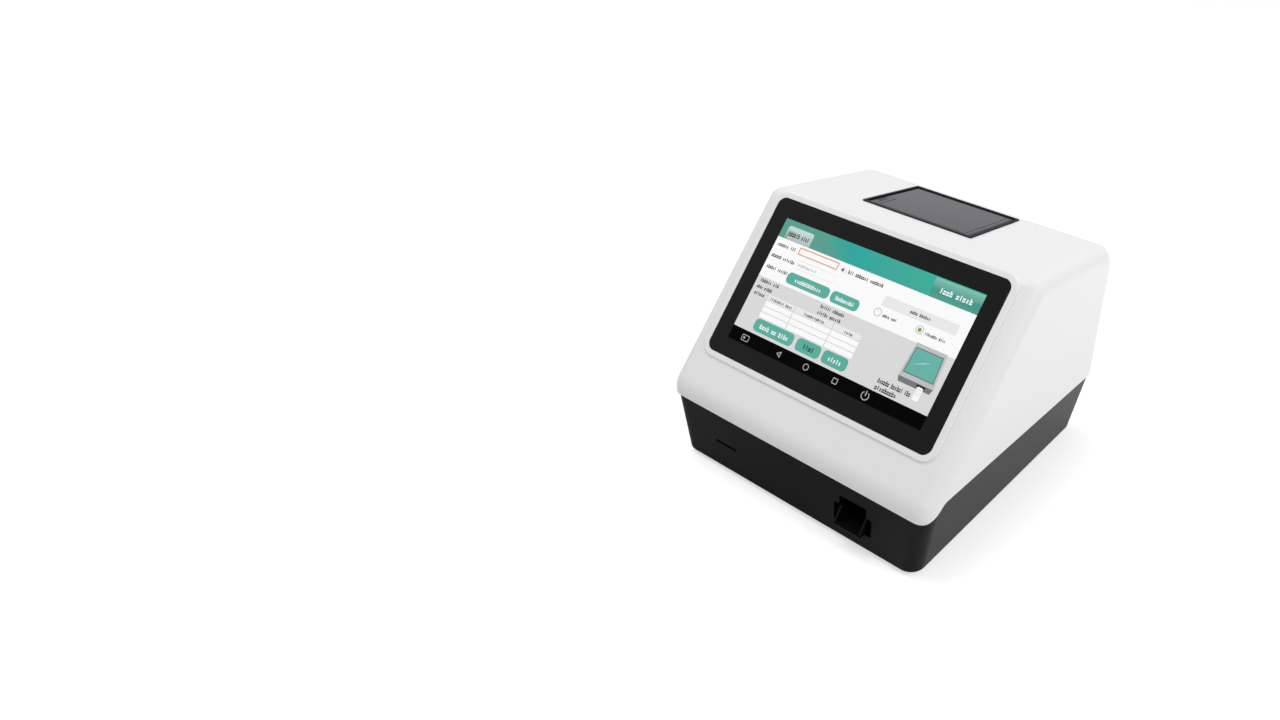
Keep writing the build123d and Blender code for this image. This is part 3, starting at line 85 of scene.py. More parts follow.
def on_face(name, tilt):
    """The matrix for drawings in mm from the middle of a flat CAD piece's upper face."""
    low, high = face_box(name, tilt)
    middle = (low + high) / 2
    middle.z = high.z
    turn = Matrix.Rotation(tilt, 3, "X")
    return Matrix.Translation(turn @ middle) @ turn.to_4x4() @ Matrix.Scale(MM, 4)


on_glass = on_face("touch_glass", SCREEN_SLOPE)
on_lid = on_face("printer_lid", -ROOF_TILT)
print("middle of the glass in mm", [round(c / MM, 1) for c in on_glass.translation])

# %% [markdown]
# ## Camera
# The photograph looks down at the front right corner, a little rolled, with strong perspective.
# The camera was solved from the corners of the screen, the base and the lid. The picture is a crop
# whose middle is off the lens axis, and the shift carries that instead of a turned camera.

# %% Camera
PHOTO_WIDTH = 1280
PHOTO_HEIGHT = 720
CAMERA_PLACE = Vector((300.0, -418.8, 386.3)) * MM
CAMERA_YAW = 0.504
CAMERA_PITCH = -0.639
CAMERA_ROLL = 0.132
FOCAL_PIXELS = 741.8
AXIS_PIXEL = (960.0, 440.0)

forward = Vector((
    -math.sin(CAMERA_YAW) * math.cos(CAMERA_PITCH),
    math.cos(CAMERA_YAW) * math.cos(CAMERA_PITCH),
    math.sin(CAMERA_PITCH),
))
level = forward.cross(Vector((0, 0, 1))).normalized()
upright = level.cross(forward)
view_right = math.cos(CAMERA_ROLL) * level + math.sin(CAMERA_ROLL) * upright
view_up = -math.sin(CAMERA_ROLL) * level + math.cos(CAMERA_ROLL) * upright
lens = bpy.data.cameras.new("photo_camera")
lens.sensor_width = 36.0
lens.lens = FOCAL_PIXELS / PHOTO_WIDTH * lens.sensor_width
lens.shift_x = (PHOTO_WIDTH / 2 - AXIS_PIXEL[0]) / PHOTO_WIDTH
lens.shift_y = (AXIS_PIXEL[1] - PHOTO_HEIGHT / 2) / PHOTO_WIDTH
lens.clip_start = 0.01
camera = bpy.data.objects.new("photo_camera", lens)
scene.collection.objects.link(camera)
view_turn = Matrix((view_right, view_up, -forward)).transposed().to_4x4()
camera.matrix_world = Matrix.Translation(CAMERA_PLACE) @ view_turn
scene.camera = camera


def pixel(point):
    """Where a point of the model falls in the photograph."""
    ray = point - CAMERA_PLACE
    away = ray.dot(forward)
    x = AXIS_PIXEL[0] + FOCAL_PIXELS * ray.dot(view_right) / away
    y = AXIS_PIXEL[1] - FOCAL_PIXELS * ray.dot(view_up) / away
    return round(x, 1), round(y, 1)


low, high = face_box("touch_glass", SCREEN_SLOPE)
glass_half = (high - low) / 2 / MM
for u, v in ((-1, 1), (1, 1), (1, -1), (-1, -1)):
    print("glass corner at pixel", pixel(on_glass @ Vector((u * glass_half.x, v * glass_half.y, 0))))

# %% [markdown]
# ## Nodes and colours
# Every material and every Geometry Nodes tree is built from the same step: add a node, set its
# properties, and give each input a value or another node's output. Colours are written as the sRGB
# hex values that a paint picker shows, and one function turns them to the linear values of a shader.

# %% One helper for nodes and one for colours
def linear(hexa):
    """An sRGB hex colour as linear red, green, blue and alpha."""
    parts = [int(hexa[i : i + 2], 16) / 255 for i in (1, 3, 5)]
    return (*[p / 12.92 if p <= 0.04045 else ((p + 0.055) / 1.055) ** 2.4 for p in parts], 1.0)


def add(tree, kind, inputs=None, **settings):
    """Adds a node; an input is given by name or number and takes a value or another node's output."""
    node = tree.nodes.new(kind)
    for name, value in settings.items():
        setattr(node, name, value)
    for name, value in (inputs or {}).items():
        if isinstance(value, bpy.types.NodeSocket):
            tree.links.new(value, node.inputs[name])
        else:
            node.inputs[name].default_value = value
    return node


def new_finish(name, **sockets):
    """A material with its Principled shader, and that shader's plain values by socket name."""
    material = bpy.data.materials.new(name)
    material.use_nodes = True
    shader = material.node_tree.nodes["Principled BSDF"]
    for socket, value in sockets.items():
        shader.inputs[socket.replace("_", " ")].default_value = value
    return material, material.node_tree, shader


# %% [markdown]
# ## Light and floor
# A product photograph of this kind is lit by large soft boxes and cut out on white. The world gives
# the soft part, and the camera and the reflections see it as white. The floor is a wide pale sheet
# that glows a little towards the camera, so that it reaches white and still holds a soft shadow, and
# more far out, where the lamps don't reach. The dark base mirrors the floor, and the photograph's
# base is black in front and grey at the right, so the mirrored glow grows from left to right.

# %% World and floor
WORLD_LEVEL = 0.55
FLOOR_HALF = 4.0
FLOOR_GLOW = 0.55
GLOW_GROWS_FROM = 0.6
GLOW_GROWS_TO = 1.6
MIRROR_LEFT = 0.0
MIRROR_RIGHT = 1.45
MIRROR_SPAN = 0.3

world = bpy.data.worlds.new("soft_studio")
scene.world = world
world.use_nodes = True
sky = world.node_tree
sky.nodes.clear()
path = add(sky, "ShaderNodeLightPath")
seen = add(
    sky, "ShaderNodeMath", {0: path.outputs["Is Camera Ray"], 1: path.outputs["Is Glossy Ray"]},
    operation="MAXIMUM",
)
seen = add(
    sky, "ShaderNodeMath", {0: seen.outputs[0], 1: path.outputs["Is Transmission Ray"]}, operation="MAXIMUM",
)
power = add(
    sky, "ShaderNodeMath", {0: seen.outputs[0], 1: 1 - WORLD_LEVEL, 2: WORLD_LEVEL}, operation="MULTIPLY_ADD",
)
white = add(sky, "ShaderNodeBackground", {"Color": linear("#ffffff"), "Strength": power.outputs[0]})
add(sky, "ShaderNodeOutputWorld", {"Surface": white.outputs[0]})

floor_paper = bpy.data.materials.new("pale_paper_floor")
floor_paper.use_nodes = True
tree = floor_paper.node_tree
tree.nodes.clear()
place = add(tree, "ShaderNodeTexCoord").outputs["Object"]
cloud = add(tree, "ShaderNodeTexNoise", {"Vector": place, "Scale": 30.0})
tone = add(
    tree, "ShaderNodeMix", {0: cloud.outputs[0], 6: linear("#dadada"), 7: linear("#dedede")},
    data_type="RGBA",
)
paper = add(tree, "ShaderNodeBsdfDiffuse", {"Color": tone.outputs[2]})
path = add(tree, "ShaderNodeLightPath")
across = add(tree, "ShaderNodeSeparateXYZ", {0: place})
mirror_glow = add(
    tree, "ShaderNodeMapRange",
    {0: across.outputs["X"], 1: 0.0, 2: MIRROR_SPAN, 3: MIRROR_LEFT, 4: MIRROR_RIGHT},
)
mirrored = add(
    tree, "ShaderNodeMath", {0: path.outputs["Is Glossy Ray"], 1: mirror_glow.outputs[0]},
    operation="MULTIPLY",
)
reach = add(tree, "ShaderNodeVectorMath", {0: place}, operation="LENGTH")
floor_glow = add(
    tree, "ShaderNodeMapRange",
    {0: reach.outputs["Value"], 1: GLOW_GROWS_FROM, 2: GLOW_GROWS_TO, 3: FLOOR_GLOW, 4: 1.0},
)
glow = add(
    tree, "ShaderNodeMath",
    {0: path.outputs["Is Camera Ray"], 1: floor_glow.outputs[0], 2: mirrored.outputs[0]},
    operation="MULTIPLY_ADD",
)
shine = add(tree, "ShaderNodeEmission", {"Color": linear("#ffffff"), "Strength": glow.outputs[0]})
both = add(tree, "ShaderNodeAddShader", {0: paper.outputs[0], 1: shine.outputs[0]})
add(tree, "ShaderNodeOutputMaterial", {"Surface": both.outputs[0]})


def as_mesh(drawing, name):
    """A mesh of what was drawn in mesh code, which is then freed."""
    mesh = bpy.data.meshes.new(name)
    drawing.to_mesh(mesh)
    drawing.free()
    return mesh


sheet = bmesh.new()
bmesh.ops.create_grid(sheet, x_segments=1, y_segments=1, size=FLOOR_HALF)
floor_mesh = as_mesh(sheet, "studio_floor")
floor_mesh.materials.append(floor_paper)
floor = bpy.data.objects.new("studio_floor", floor_mesh)
scene.collection.objects.link(floor)
print("floor", 2 * FLOOR_HALF, "m wide")

# %% [markdown]
# ## Lamps
# A large key light stands at the upper left of the camera, away from where the sloping glass would
# mirror it. A softer one stands at the right, because the photograph's right side is almost as
# bright as its roof. Both are wide, so their shadows have soft edges.

# %% Lamps
LAMP_WIDTH = 1.0
LIT_PLACE = Vector((0, 0, 0.1))


def soft_box(name, place, watts):
    """A square area light that faces the instrument."""
    light = bpy.data.lights.new(name, "AREA")
    light.size = LAMP_WIDTH
    light.energy = watts
    lamp = bpy.data.objects.new(name, light)
    scene.collection.objects.link(lamp)
    aim = LIT_PLACE - Vector(place)
    lamp.matrix_world = Matrix.Translation(place) @ aim.to_track_quat("-Z", "Y").to_matrix().to_4x4()
    print(name, "at", place, "m with", watts, "W")


soft_box("key_light", (-0.5, -0.12, 1.75), 11.0)
soft_box("right_light", (1.5, 0.15, 0.9), 8.3)

# %% [markdown]
# ## Moulded plastics
# Most of the instrument is injection-moulded ABS. The mould's spark-eroded texture prints a fine
# even grain on it, which breaks up the gloss, and the colour drifts a little across a large wall.
# The grain is the Bump node's height, and it also moves the roughness up and down. A real grain is
# 0.1 to 0.3 mm, finer than a pixel here, so it is drawn at a millimetre to show at all.

# %% Moulded plastics
CLOUDS_PER_METRE = 12.0
GRAIN_SWING = 0.07


def moulded(name, colour, drift, roughness, grain_mm, relief_mm, **sockets):
    """Moulded plastic or rubber: two close colours in slow clouds under a fine grain."""
    material, tree, shader = new_finish(name, **sockets)
    place = add(tree, "ShaderNodeTexCoord").outputs["Object"]
    cloud = add(tree, "ShaderNodeTexNoise", {"Vector": place, "Scale": CLOUDS_PER_METRE, "Detail": 3.0})
    tone = add(
        tree, "ShaderNodeMix", {0: cloud.outputs[0], 6: linear(colour), 7: linear(drift)}, data_type="RGBA",
    )
    grain = add(tree, "ShaderNodeTexNoise", {"Vector": place, "Scale": 1 / (grain_mm * MM), "Detail": 2.0})
    gloss = add(
        tree, "ShaderNodeMapRange",
        {0: grain.outputs[0], 3: roughness - GRAIN_SWING, 4: roughness + GRAIN_SWING},
    )
    relief = add(
        tree, "ShaderNodeBump", {"Height": grain.outputs[0], "Distance": relief_mm * MM, "Strength": 0.6},
    )
    tree.links.new(tone.outputs[2], shader.inputs["Base Color"])
    tree.links.new(gloss.outputs[0], shader.inputs["Roughness"])
    tree.links.new(relief.outputs[0], shader.inputs["Normal"])
    return material


finishes = {
    # Off-white ABS with a satin, spark-eroded skin: soft sheen, no sharp reflection.
    "white_casing": moulded("satin_white_abs", "#efeeef", "#ebeaec", 0.42, 0.9, 0.010),
    # Charcoal ABS: a black front, and a grey veil of sheen where a wall is seen at a low angle.
    "dark_base": moulded("charcoal_abs", "#090a0b", "#0d0e0f", 0.38, 1.1, 0.010, Specular_IOR_Level=0.075),
    # Glossier black plastic of sockets and of the switch.
    "black_plastic": moulded("black_nylon", "#18191a", "#1d1e1f", 0.36, 0.8, 0.010, Specular_IOR_Level=0.35),
    # Near-black polished lid: seen at a low angle it mirrors the studio as an even purplish grey.
    "printer_plastic": moulded(
        "polished_smoke_abs", "#2e2934", "#322d38", 0.20, 1.4, 0.001, Specular_IOR_Level=0.18,
    ),
    # Matt black frame round the lid: the same plastic left unpolished, so it stays dark.
    "bezel_black": moulded(
        "unpolished_black_abs", "#161517", "#1b191c", 0.55, 0.9, 0.012, Specular_IOR_Level=0.10,
    ),
    # Natural acetal gears: waxy, slightly cream white.
    "gear_plastic": moulded("natural_acetal", "#e9e5d8", "#e2ddce", 0.38, 0.7, 0.006, Subsurface_Weight=0.05),
    # Black tray with the dull gloss of glass-filled plastic.
    "tray_plastic": moulded(
        "tray_black_abs", "#090909", "#0d0d0e", 0.42, 0.8, 0.012, Specular_IOR_Level=0.08,
    ),
    # Silicone of the paper roller, and the harder rubber of the feet.
    "roller_rubber": moulded("platen_silicone", "#2a2b2c", "#313233", 0.72, 0.6, 0.012),
    "foot_rubber": moulded("foot_rubber", "#1d1d1d", "#262626", 0.80, 0.7, 0.020),
}
print(len(finishes), "moulded finishes")

# %% [markdown]
# ## Metals
# Sheet, shafts and connector shells are metals: the Metallic socket is 1 and the IOR stays at its
# default. Rolling or turning leaves fine lines in one direction, so the noise is stretched along it.
# Real lines are finer than a pixel, so they are drawn about a millimetre apart.

# %% Metals
LINES_PER_METRE = 900.0
STAINS_PER_METRE = 25.0
LINE_SWING = 0.08


def drawn_metal(name, colour, stain, roughness, stretch, relief_mm):
    """Rolled, turned or plated metal with fine lines; stretch is how the lines are drawn out."""
    material, tree, shader = new_finish(name, Metallic=1.0)
    place = add(tree, "ShaderNodeTexCoord").outputs["Object"]
    lie = add(tree, "ShaderNodeMapping", {"Vector": place, "Scale": stretch})
    lines = add(
        tree, "ShaderNodeTexNoise", {"Vector": lie.outputs[0], "Scale": LINES_PER_METRE, "Detail": 3.0},
    )
    cloud = add(tree, "ShaderNodeTexNoise", {"Vector": place, "Scale": STAINS_PER_METRE, "Detail": 2.0})
    tone = add(
        tree, "ShaderNodeMix", {0: cloud.outputs[0], 6: linear(colour), 7: linear(stain)}, data_type="RGBA",
    )
    gloss = add(
        tree, "ShaderNodeMapRange",
        {0: lines.outputs[0], 3: roughness - LINE_SWING, 4: roughness + LINE_SWING},
    )
    relief = add(
        tree, "ShaderNodeBump", {"Height": lines.outputs[0], "Distance": relief_mm * MM, "Strength": 0.5},
    )
    tree.links.new(tone.outputs[2], shader.inputs["Base Color"])
    tree.links.new(gloss.outputs[0], shader.inputs["Roughness"])
    tree.links.new(relief.outputs[0], shader.inputs["Normal"])
    return material


finishes["sheet_metal"] = drawn_metal(
    "zinc_plated_steel", "#b4b7ba", "#a3a7ab", 0.38, (1.0, 0.06, 1.0), 0.008,
)
finishes["ground_steel"] = drawn_metal("ground_steel_rod", "#c6c8ca", "#b9bcbf", 0.18, (1.0, 1.0, 0.1), 0.003)
finishes["connector_metal"] = drawn_metal(
    "nickel_plated_shell", "#cfd0d0", "#bfc0c0", 0.26, (0.1, 1.0, 1.0), 0.004,
)
finishes["bronze"] = drawn_metal("sintered_bronze", "#a9814f", "#98713f", 0.45, (1.0, 1.0, 1.0), 0.010)
finishes["machined_black"] = moulded(
    "black_anodised_aluminium", "#1b1b1d", "#232326", 0.32, 0.5, 0.006, Metallic=0.6,
)
print(len(finishes), "finishes so far")

# %% [markdown]
# ## Cover glass, circuit board and optics
# The touch screen's cover glass is printed black on its back, and a coating keeps its reflection
# weak, so it stays dark under a white studio. Finger marks are slow changes of its gloss. The boards
# are green lacquer over copper tracks, drawn coarse by the joints of a brick pattern. Lens and
# filter are glass.

# %% Glass, boards and optics
glass_black, tree, shader = new_finish("coated_cover_glass", Specular_IOR_Level=0.12, IOR=1.5)
place = add(tree, "ShaderNodeTexCoord").outputs["Object"]
smear = add(tree, "ShaderNodeTexNoise", {"Vector": place, "Scale": 45.0, "Detail": 6.0, "Roughness": 0.7})
gloss = add(tree, "ShaderNodeMapRange", {0: smear.outputs[0], 1: 0.35, 2: 0.7, 3: 0.05, 4: 0.16})
tone = add(
    tree, "ShaderNodeMix", {0: smear.outputs[0], 6: linear("#0b0b0d"), 7: linear("#131315")},
    data_type="RGBA",
)
tree.links.new(gloss.outputs[0], shader.inputs["Roughness"])
tree.links.new(tone.outputs[2], shader.inputs["Base Color"])
finishes["cover_glass"] = glass_black

BOARD_THICKNESS = 1.6
BOARD_MARGIN = 0.05
BRICKS_PER_METRE = 120.0


def circuit(node, out):
    """Green lacquered board whose parts, above its face on the out side, are black moulded packages."""
    spots = [out.dot(v.co) for v in frame["nodes"][node].data.vertices]
    material, tree, shader = new_finish("lacquered_" + node, Coat_Weight=0.3, Coat_Roughness=0.2)
    place = add(tree, "ShaderNodeTexCoord").outputs["Object"]
    height = add(tree, "ShaderNodeVectorMath", {0: place, 1: out}, operation="DOT_PRODUCT")
    face = min(spots) + (BOARD_THICKNESS + BOARD_MARGIN) * MM
    part = add(tree, "ShaderNodeMath", {0: height.outputs["Value"], 1: face}, operation="GREATER_THAN")
    tracks = add(tree, "ShaderNodeTexBrick", {
        "Vector": place, "Scale": BRICKS_PER_METRE, "Mortar Size": 0.035, "Brick Width": 0.7,
        "Row Height": 0.22,
    })
    lacquer = add(
        tree, "ShaderNodeMix", {0: tracks.outputs["Fac"], 6: linear("#0f5a34"), 7: linear("#2a8552")},
        data_type="RGBA",
    )
    tone = add(
        tree, "ShaderNodeMix", {0: part.outputs[0], 6: lacquer.outputs[2], 7: linear("#1c1c1e")},
        data_type="RGBA",
    )
    gloss = add(tree, "ShaderNodeMapRange", {0: part.outputs[0], 3: 0.42, 4: 0.6})
    tree.links.new(tone.outputs[2], shader.inputs["Base Color"])
    tree.links.new(gloss.outputs[0], shader.inputs["Roughness"])
    return material


glass_out = on_glass.col[2].xyz.normalized()
skyward = Vector((0, 0, 1))
boards = {
    "main_board": -glass_out, "control_board": skyward, "detector_board": skyward, "chip_board": skyward,
}
for node, out in boards.items():
    finishes[node] = circuit(node, out)

finishes["display_module"] = drawn_metal(
    "display_back_tin", "#c4c6c8", "#b5b8bb", 0.35, (0.08, 1.0, 1.0), 0.004,
)


def optic(name, colour, clear):
    """Ground and polished glass with the faint cloud of its coating."""
    material, tree, shader = new_finish(name, Transmission_Weight=clear, IOR=1.5, Roughness=0.03)
    place = add(tree, "ShaderNodeTexCoord").outputs["Object"]
    film = add(tree, "ShaderNodeTexNoise", {"Vector": place, "Scale": 150.0})
    tone = add(
        tree, "ShaderNodeMix", {0: film.outputs[0], 6: linear(colour), 7: linear("#ffffff")},
        data_type="RGBA",
    )
    tree.links.new(tone.outputs[2], shader.inputs["Base Color"])
    return material


finishes["optical_glass"] = optic("polished_lens_glass", "#eaf4f2", 1.0)
finishes["filter_glass"] = optic("interference_filter_glass", "#c65a9a", 0.6)

# %% [markdown]
# ## Dressing the CAD pieces
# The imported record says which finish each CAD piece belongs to. A piece keeps its mesh, and only its
# material slot is given the new material. The boards have one each, because their parts are told
# from the board by height, and the tray's throat and the printer's frame and tab differ from their
# slot's plastic.

# %% Finishes on the CAD pieces
slot_of = {entry["node"]: entry["material_slot"] for entry in frame["record"]["subparts"]}
own_finish = {node: node for node in boards}
own_finish.update(
    {"printer_bezel": "bezel_black", "mouth_throat": "bezel_black", "release_tab": "printer_plastic"},
)
for name, piece in frame["nodes"].items():
    for slot in piece.material_slots:
        slot.material = finishes[own_finish.get(name, slot_of[name])]
print(len(slot_of), "CAD pieces dressed in", len(finishes), "finishes")

# %% [markdown]
# ## Geometry Nodes for what repeats
# Pins, written lines and screws repeat one small shape by a rule. A tree makes them from named
# inputs, and the modifier's result is taken out as a plain mesh, so nothing live stays on a piece.

# %% Running a tree once
def new_tree(name, **inputs):
    """An empty Geometry Nodes tree with one named number, whole number or material per input."""
    tree = bpy.data.node_groups.new(name, "GeometryNodeTree")
    tree.interface.new_socket("Geometry", in_out="INPUT", socket_type="NodeSocketGeometry")
    for label, kind in inputs.items():
        tree.interface.new_socket(label, in_out="INPUT", socket_type="NodeSocket" + kind)
    tree.interface.new_socket("Geometry", in_out="OUTPUT", socket_type="NodeSocketGeometry")
    return tree, add(tree, "NodeGroupInput").outputs


def close_tree(tree, shape, material):
    """Ends a tree: its instances become real, take one material and go out."""
    real = add(tree, "GeometryNodeRealizeInstances", {0: shape})
    coated = add(tree, "GeometryNodeSetMaterial", {0: real.outputs[0], "Material": material})
    add(tree, "NodeGroupOutput", {0: coated.outputs[0]})
    print(tree.name, "has", len(tree.nodes), "nodes")


def grown(tree, **values):
    """The plain mesh that a tree makes from the values of its inputs."""
    seed_mesh = bpy.data.meshes.new("seed")
    seed = bpy.data.objects.new("seed", seed_mesh)
    scene.collection.objects.link(seed)
    modifier = seed.modifiers.new("tree", "NODES")
    modifier.node_group = tree
    for item in tree.interface.items_tree:
        if item.in_out == "INPUT" and item.name in values:
            modifier[item.identifier] = values[item.name]
    seed.update_tag()
    graph = bpy.context.evaluated_depsgraph_get()
    mesh = bpy.data.meshes.new_from_object(seed.evaluated_get(graph), depsgraph=graph)
    bpy.data.objects.remove(seed)
    bpy.data.meshes.remove(seed_mesh)
    return mesh


def finish_piece(name, mesh, body, material):
    """Puts a finished mesh in the scene in one material and lets it ride on a body."""
    mesh.name = name
    mesh.materials.clear()
    mesh.materials.append(material)
    piece = bpy.data.objects.new(name, mesh)
    scene.collection.objects.link(piece)
    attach(piece, body)
    print(name, len(mesh.polygons), "faces")
    return piece


# %% [markdown]
# ## Picture on the screen
# The display shows a form: a teal header, white and grey fields, a small table, rounded buttons and
# a black bar of icons. Each patch of it is a very thin closed tile on the glass, in the ink of its
# colour, and a patch on top of another is one level thicker. Its places are measured in millimetres
# from the picture's upper left corner. The inks glow a little, as a lit display does. A display's
# rows of pixels are far finer than a pixel of the render, so each ink has faint coarse bands instead.

# %% Inks of the picture
PICTURE_LEFT = -87.9
PICTURE_TOP = 49.1
PICTURE_WIDTH = 176.6
PICTURE_HEIGHT = 99.0
SCREEN_LIGHT = 0.12
SCREEN_GLOSS = 0.18
PIXEL_BAND_MM = 5.655
BAND_SHARE = 0.12
WAVE_RADIANS = 20


def along_picture(tree, rightward, downward, start, end):
    """From 0 to 1 between two distances in mm along a direction, rightward and downward."""
    across, up = (on_glass.col[i].xyz.normalized() for i in (0, 1))
    direction = (across * rightward - up * downward) / MM
    corner = direction.dot(on_glass @ Vector((PICTURE_LEFT, PICTURE_TOP, 0)))
    place = add(tree, "ShaderNodeTexCoord").outputs["Object"]
    reach = add(tree, "ShaderNodeVectorMath", {0: place, 1: direction}, operation="DOT_PRODUCT")
    return add(
        tree, "ShaderNodeMapRange", {0: reach.outputs["Value"], 1: corner + start, 2: corner + end},
    ).outputs[0]


def ink(name, colour, fade, fall=None, sheen=0.08):
    """A display colour with faint bands; it fades in clouds or down the picture."""
    material, tree, shader = new_finish(
        name, Specular_IOR_Level=sheen, Emission_Strength=SCREEN_LIGHT, Roughness=SCREEN_GLOSS,
    )
    place = add(tree, "ShaderNodeTexCoord").outputs["Object"]
    rows = add(
        tree, "ShaderNodeTexWave",
        {"Vector": place, "Scale": 2 * math.pi / (PIXEL_BAND_MM * MM * WAVE_RADIANS)}, bands_direction="Z",
    )
    cloud = add(tree, "ShaderNodeTexNoise", {"Vector": place, "Scale": 14.0}).outputs[0]
    if fall:
        cloud = along_picture(tree, 0, 1, *fall)
    part = add(tree, "ShaderNodeMath", {0: rows.outputs[1], 1: BAND_SHARE}, operation="MULTIPLY")
    share = add(
        tree, "ShaderNodeMath", {0: cloud, 1: 1 - BAND_SHARE, 2: part.outputs[0]}, operation="MULTIPLY_ADD",
    )
    tone = add(
        tree, "ShaderNodeMix", {0: share.outputs[0], 6: linear(colour), 7: linear(fade)}, data_type="RGBA",
    )
    tree.links.new(tone.outputs[2], shader.inputs["Base Color"])
    tree.links.new(tone.outputs[2], shader.inputs["Emission Color"])
    return material


inks = {
    "paper_white": ink("screen_white", "#ffffff", "#fafbfb"),
    "field_grey": ink("screen_field_grey", "#dedede", "#d9dada"),
    "strip_grey": ink("screen_strip_grey", "#eeeeee", "#e9e9e9"),
    "line_grey": ink("screen_line_grey", "#c9caca", "#c0c0c0"),
    "word_dark": ink("screen_word_dark", "#1f2224", "#26292b"),
    "word_grey": ink("screen_word_grey", "#a9afb2", "#b5babc"),
    "button_teal": ink("screen_button_teal", "#63b6a6", "#58aa9a"),
    "menu_teal": ink("screen_menu_teal", "#8cc6ba", "#45988a", fall=(0.8, 8.0)),
    "menu_light": ink("screen_menu_light", "#a3cfc5", "#8fc3b7"),
    "tab_pale": ink("screen_tab_pale", "#c9e0da", "#adbcb8", fall=(4.3, 14.9)),
    "entry_orange": ink("screen_entry_orange", "#e7a56d", "#dd9a62"),
    "dot_green": ink("screen_dot_green", "#86b33c", "#79a632"),
    "bar_black": ink("screen_bar_black", "#040303", "#070506", sheen=0.015),
    "icon_grey": ink("screen_icon_grey", "#b4b6b8", "#a8aaac"),
    "body_grey": ink("screen_body_grey", "#c6c8c9", "#babcbe"),
    "edge_grey": ink("screen_edge_grey", "#7d8082", "#6e7173"),
    "glass_teal": ink("screen_glass_teal", "#6fb9ae", "#5dada1"),
}
print(len(inks), "inks")

# %% [markdown]
# ## Header with a light sweep
# The header isn't one teal. It runs from a greyish green through a turquoise patch to a fresh green
# beside the menu, with leaning edges, as in a printed gradient. A colour ramp on the distance along
# a leaning direction gives the tones, and a little noise bends their edges.

# %% Header ink
header, tree, shader = new_finish(
    "screen_header_teal", Specular_IOR_Level=0.08, Emission_Strength=SCREEN_LIGHT, Roughness=SCREEN_GLOSS,
)
place = add(tree, "ShaderNodeTexCoord").outputs["Object"]
bend = add(tree, "ShaderNodeTexNoise", {"Vector": place, "Scale": 24.0, "Detail": 2.0})
share = add(
    tree, "ShaderNodeMath", {0: bend.outputs[0], 1: 0.14, 2: along_picture(tree, 1.0, -0.9, 7.0, 148.0)},
    operation="MULTIPLY_ADD",
)
ramp = add(tree, "ShaderNodeValToRGB", {0: share.outputs[0]})
stops = ramp.color_ramp.elements
for position, colour in (
    (0.30, "#5b9f91"), (0.37, "#41a499"), (0.45, "#2ea69f"), (0.62, "#3aa99c"), (0.84, "#42ab99"),
):
    stops.new(position).color = linear(colour)
stops[0].color = linear("#58a191")
stops[-1].color = linear("#31b39f")
tree.links.new(ramp.outputs[0], shader.inputs["Base Color"])
tree.links.new(ramp.outputs[0], shader.inputs["Emission Color"])
inks["header_teal"] = header
print("header of", len(stops), "tones")

# %% Tiles of the picture
TILE_STEP = 0.02
TILE_LIFT = TILE_STEP / 4
CORNER_STEPS = 5
DISC_POINTS = 28
drawings = defaultdict(bmesh.new)


def in_picture(a, b):
    """A place right of and below the picture's upper left corner, on the glass."""
    return Vector((PICTURE_LEFT + a, PICTURE_TOP - b, 0))


def tile(drawing, rims, low, high):
    """Adds a thin closed plate to a drawing; rims are its outline and, if it is hollow, an inner one."""
    area = sum(p.x * q.y - q.x * p.y for p, q in zip(rims[0], rims[0][1:] + rims[0][:1]))
    if area < 0:
        rims = [rim[::-1] for rim in rims]
    lows = [[drawing.verts.new(p + Vector((0, 0, low))) for p in rim] for rim in rims]
    highs = [[drawing.verts.new(p + Vector((0, 0, high))) for p in rim] for rim in rims]
    for i in range(len(rims[0])):
        j = (i + 1) % len(rims[0])
        drawing.faces.new((lows[0][i], lows[0][j], highs[0][j], highs[0][i]))
        if len(rims) > 1:
            drawing.faces.new((lows[1][j], lows[1][i], highs[1][i], highs[1][j]))
            drawing.faces.new((highs[0][i], highs[0][j], highs[1][j], highs[1][i]))
            drawing.faces.new((lows[0][j], lows[0][i], lows[1][i], lows[1][j]))
    if len(rims) == 1:
        drawing.faces.new(highs[0])
        drawing.faces.new(lows[0][::-1])


def tile_top(level):
    """How high above the glass the upper face of a level's tiles lies."""
    return TILE_STEP * (level + 0.5)


def lay(kind, outline, level, inner=None):
    """Lays a tile of one ink on the picture; inner is the edge of its opening, of as many points."""
    rims = [[in_picture(*p) for p in rim] for rim in (outline, inner) if rim]
    tile(drawings[kind], rims, TILE_LIFT, tile_top(level))


def box(a0, b0, a1, b1, radius=0.0):
    """Outline of a rectangle with rounded corners."""
    if radius == 0:
        return [(a0, b0), (a1, b0), (a1, b1), (a0, b1)]
    corners = ((a1 - radius, b1 - radius, 0), (a0 + radius, b1 - radius, 90),
               (a0 + radius, b0 + radius, 180), (a1 - radius, b0 + radius, 270))
    points = []
    for a, b, start in corners:
        for step in range(CORNER_STEPS + 1):
            turn = math.radians(start + 90 * step / CORNER_STEPS)
            points.append((a + radius * math.cos(turn), b + radius * math.sin(turn)))
    return points


def disc(a, b, radius):
    """Outline of a circle."""
    turns = [2 * math.pi * i / DISC_POINTS for i in range(DISC_POINTS)]
    return [(a + radius * math.cos(turn), b + radius * math.sin(turn)) for turn in turns]


HEADER_END = 14.9
FIELD_START = 47.2
BAR_START = 88.6
lay("paper_white", box(0, HEADER_END, PICTURE_WIDTH, FIELD_START), 1)
lay("header_teal", box(0, 0, PICTURE_WIDTH, HEADER_END), 1)
lay("field_grey", box(0, FIELD_START, PICTURE_WIDTH, BAR_START), 1)
lay("bar_black", box(0, BAR_START, PICTURE_WIDTH, PICTURE_HEIGHT), 1)
print("picture ground", PICTURE_WIDTH, "by", PICTURE_HEIGHT, "mm")

# %% [markdown]
# ## Fields, buttons and table
# The form is a handful of rounded rectangles. A hollow tile has an inner outline, and that makes the
# frame of the entry field, the rings of the two choices and the outlined icons.

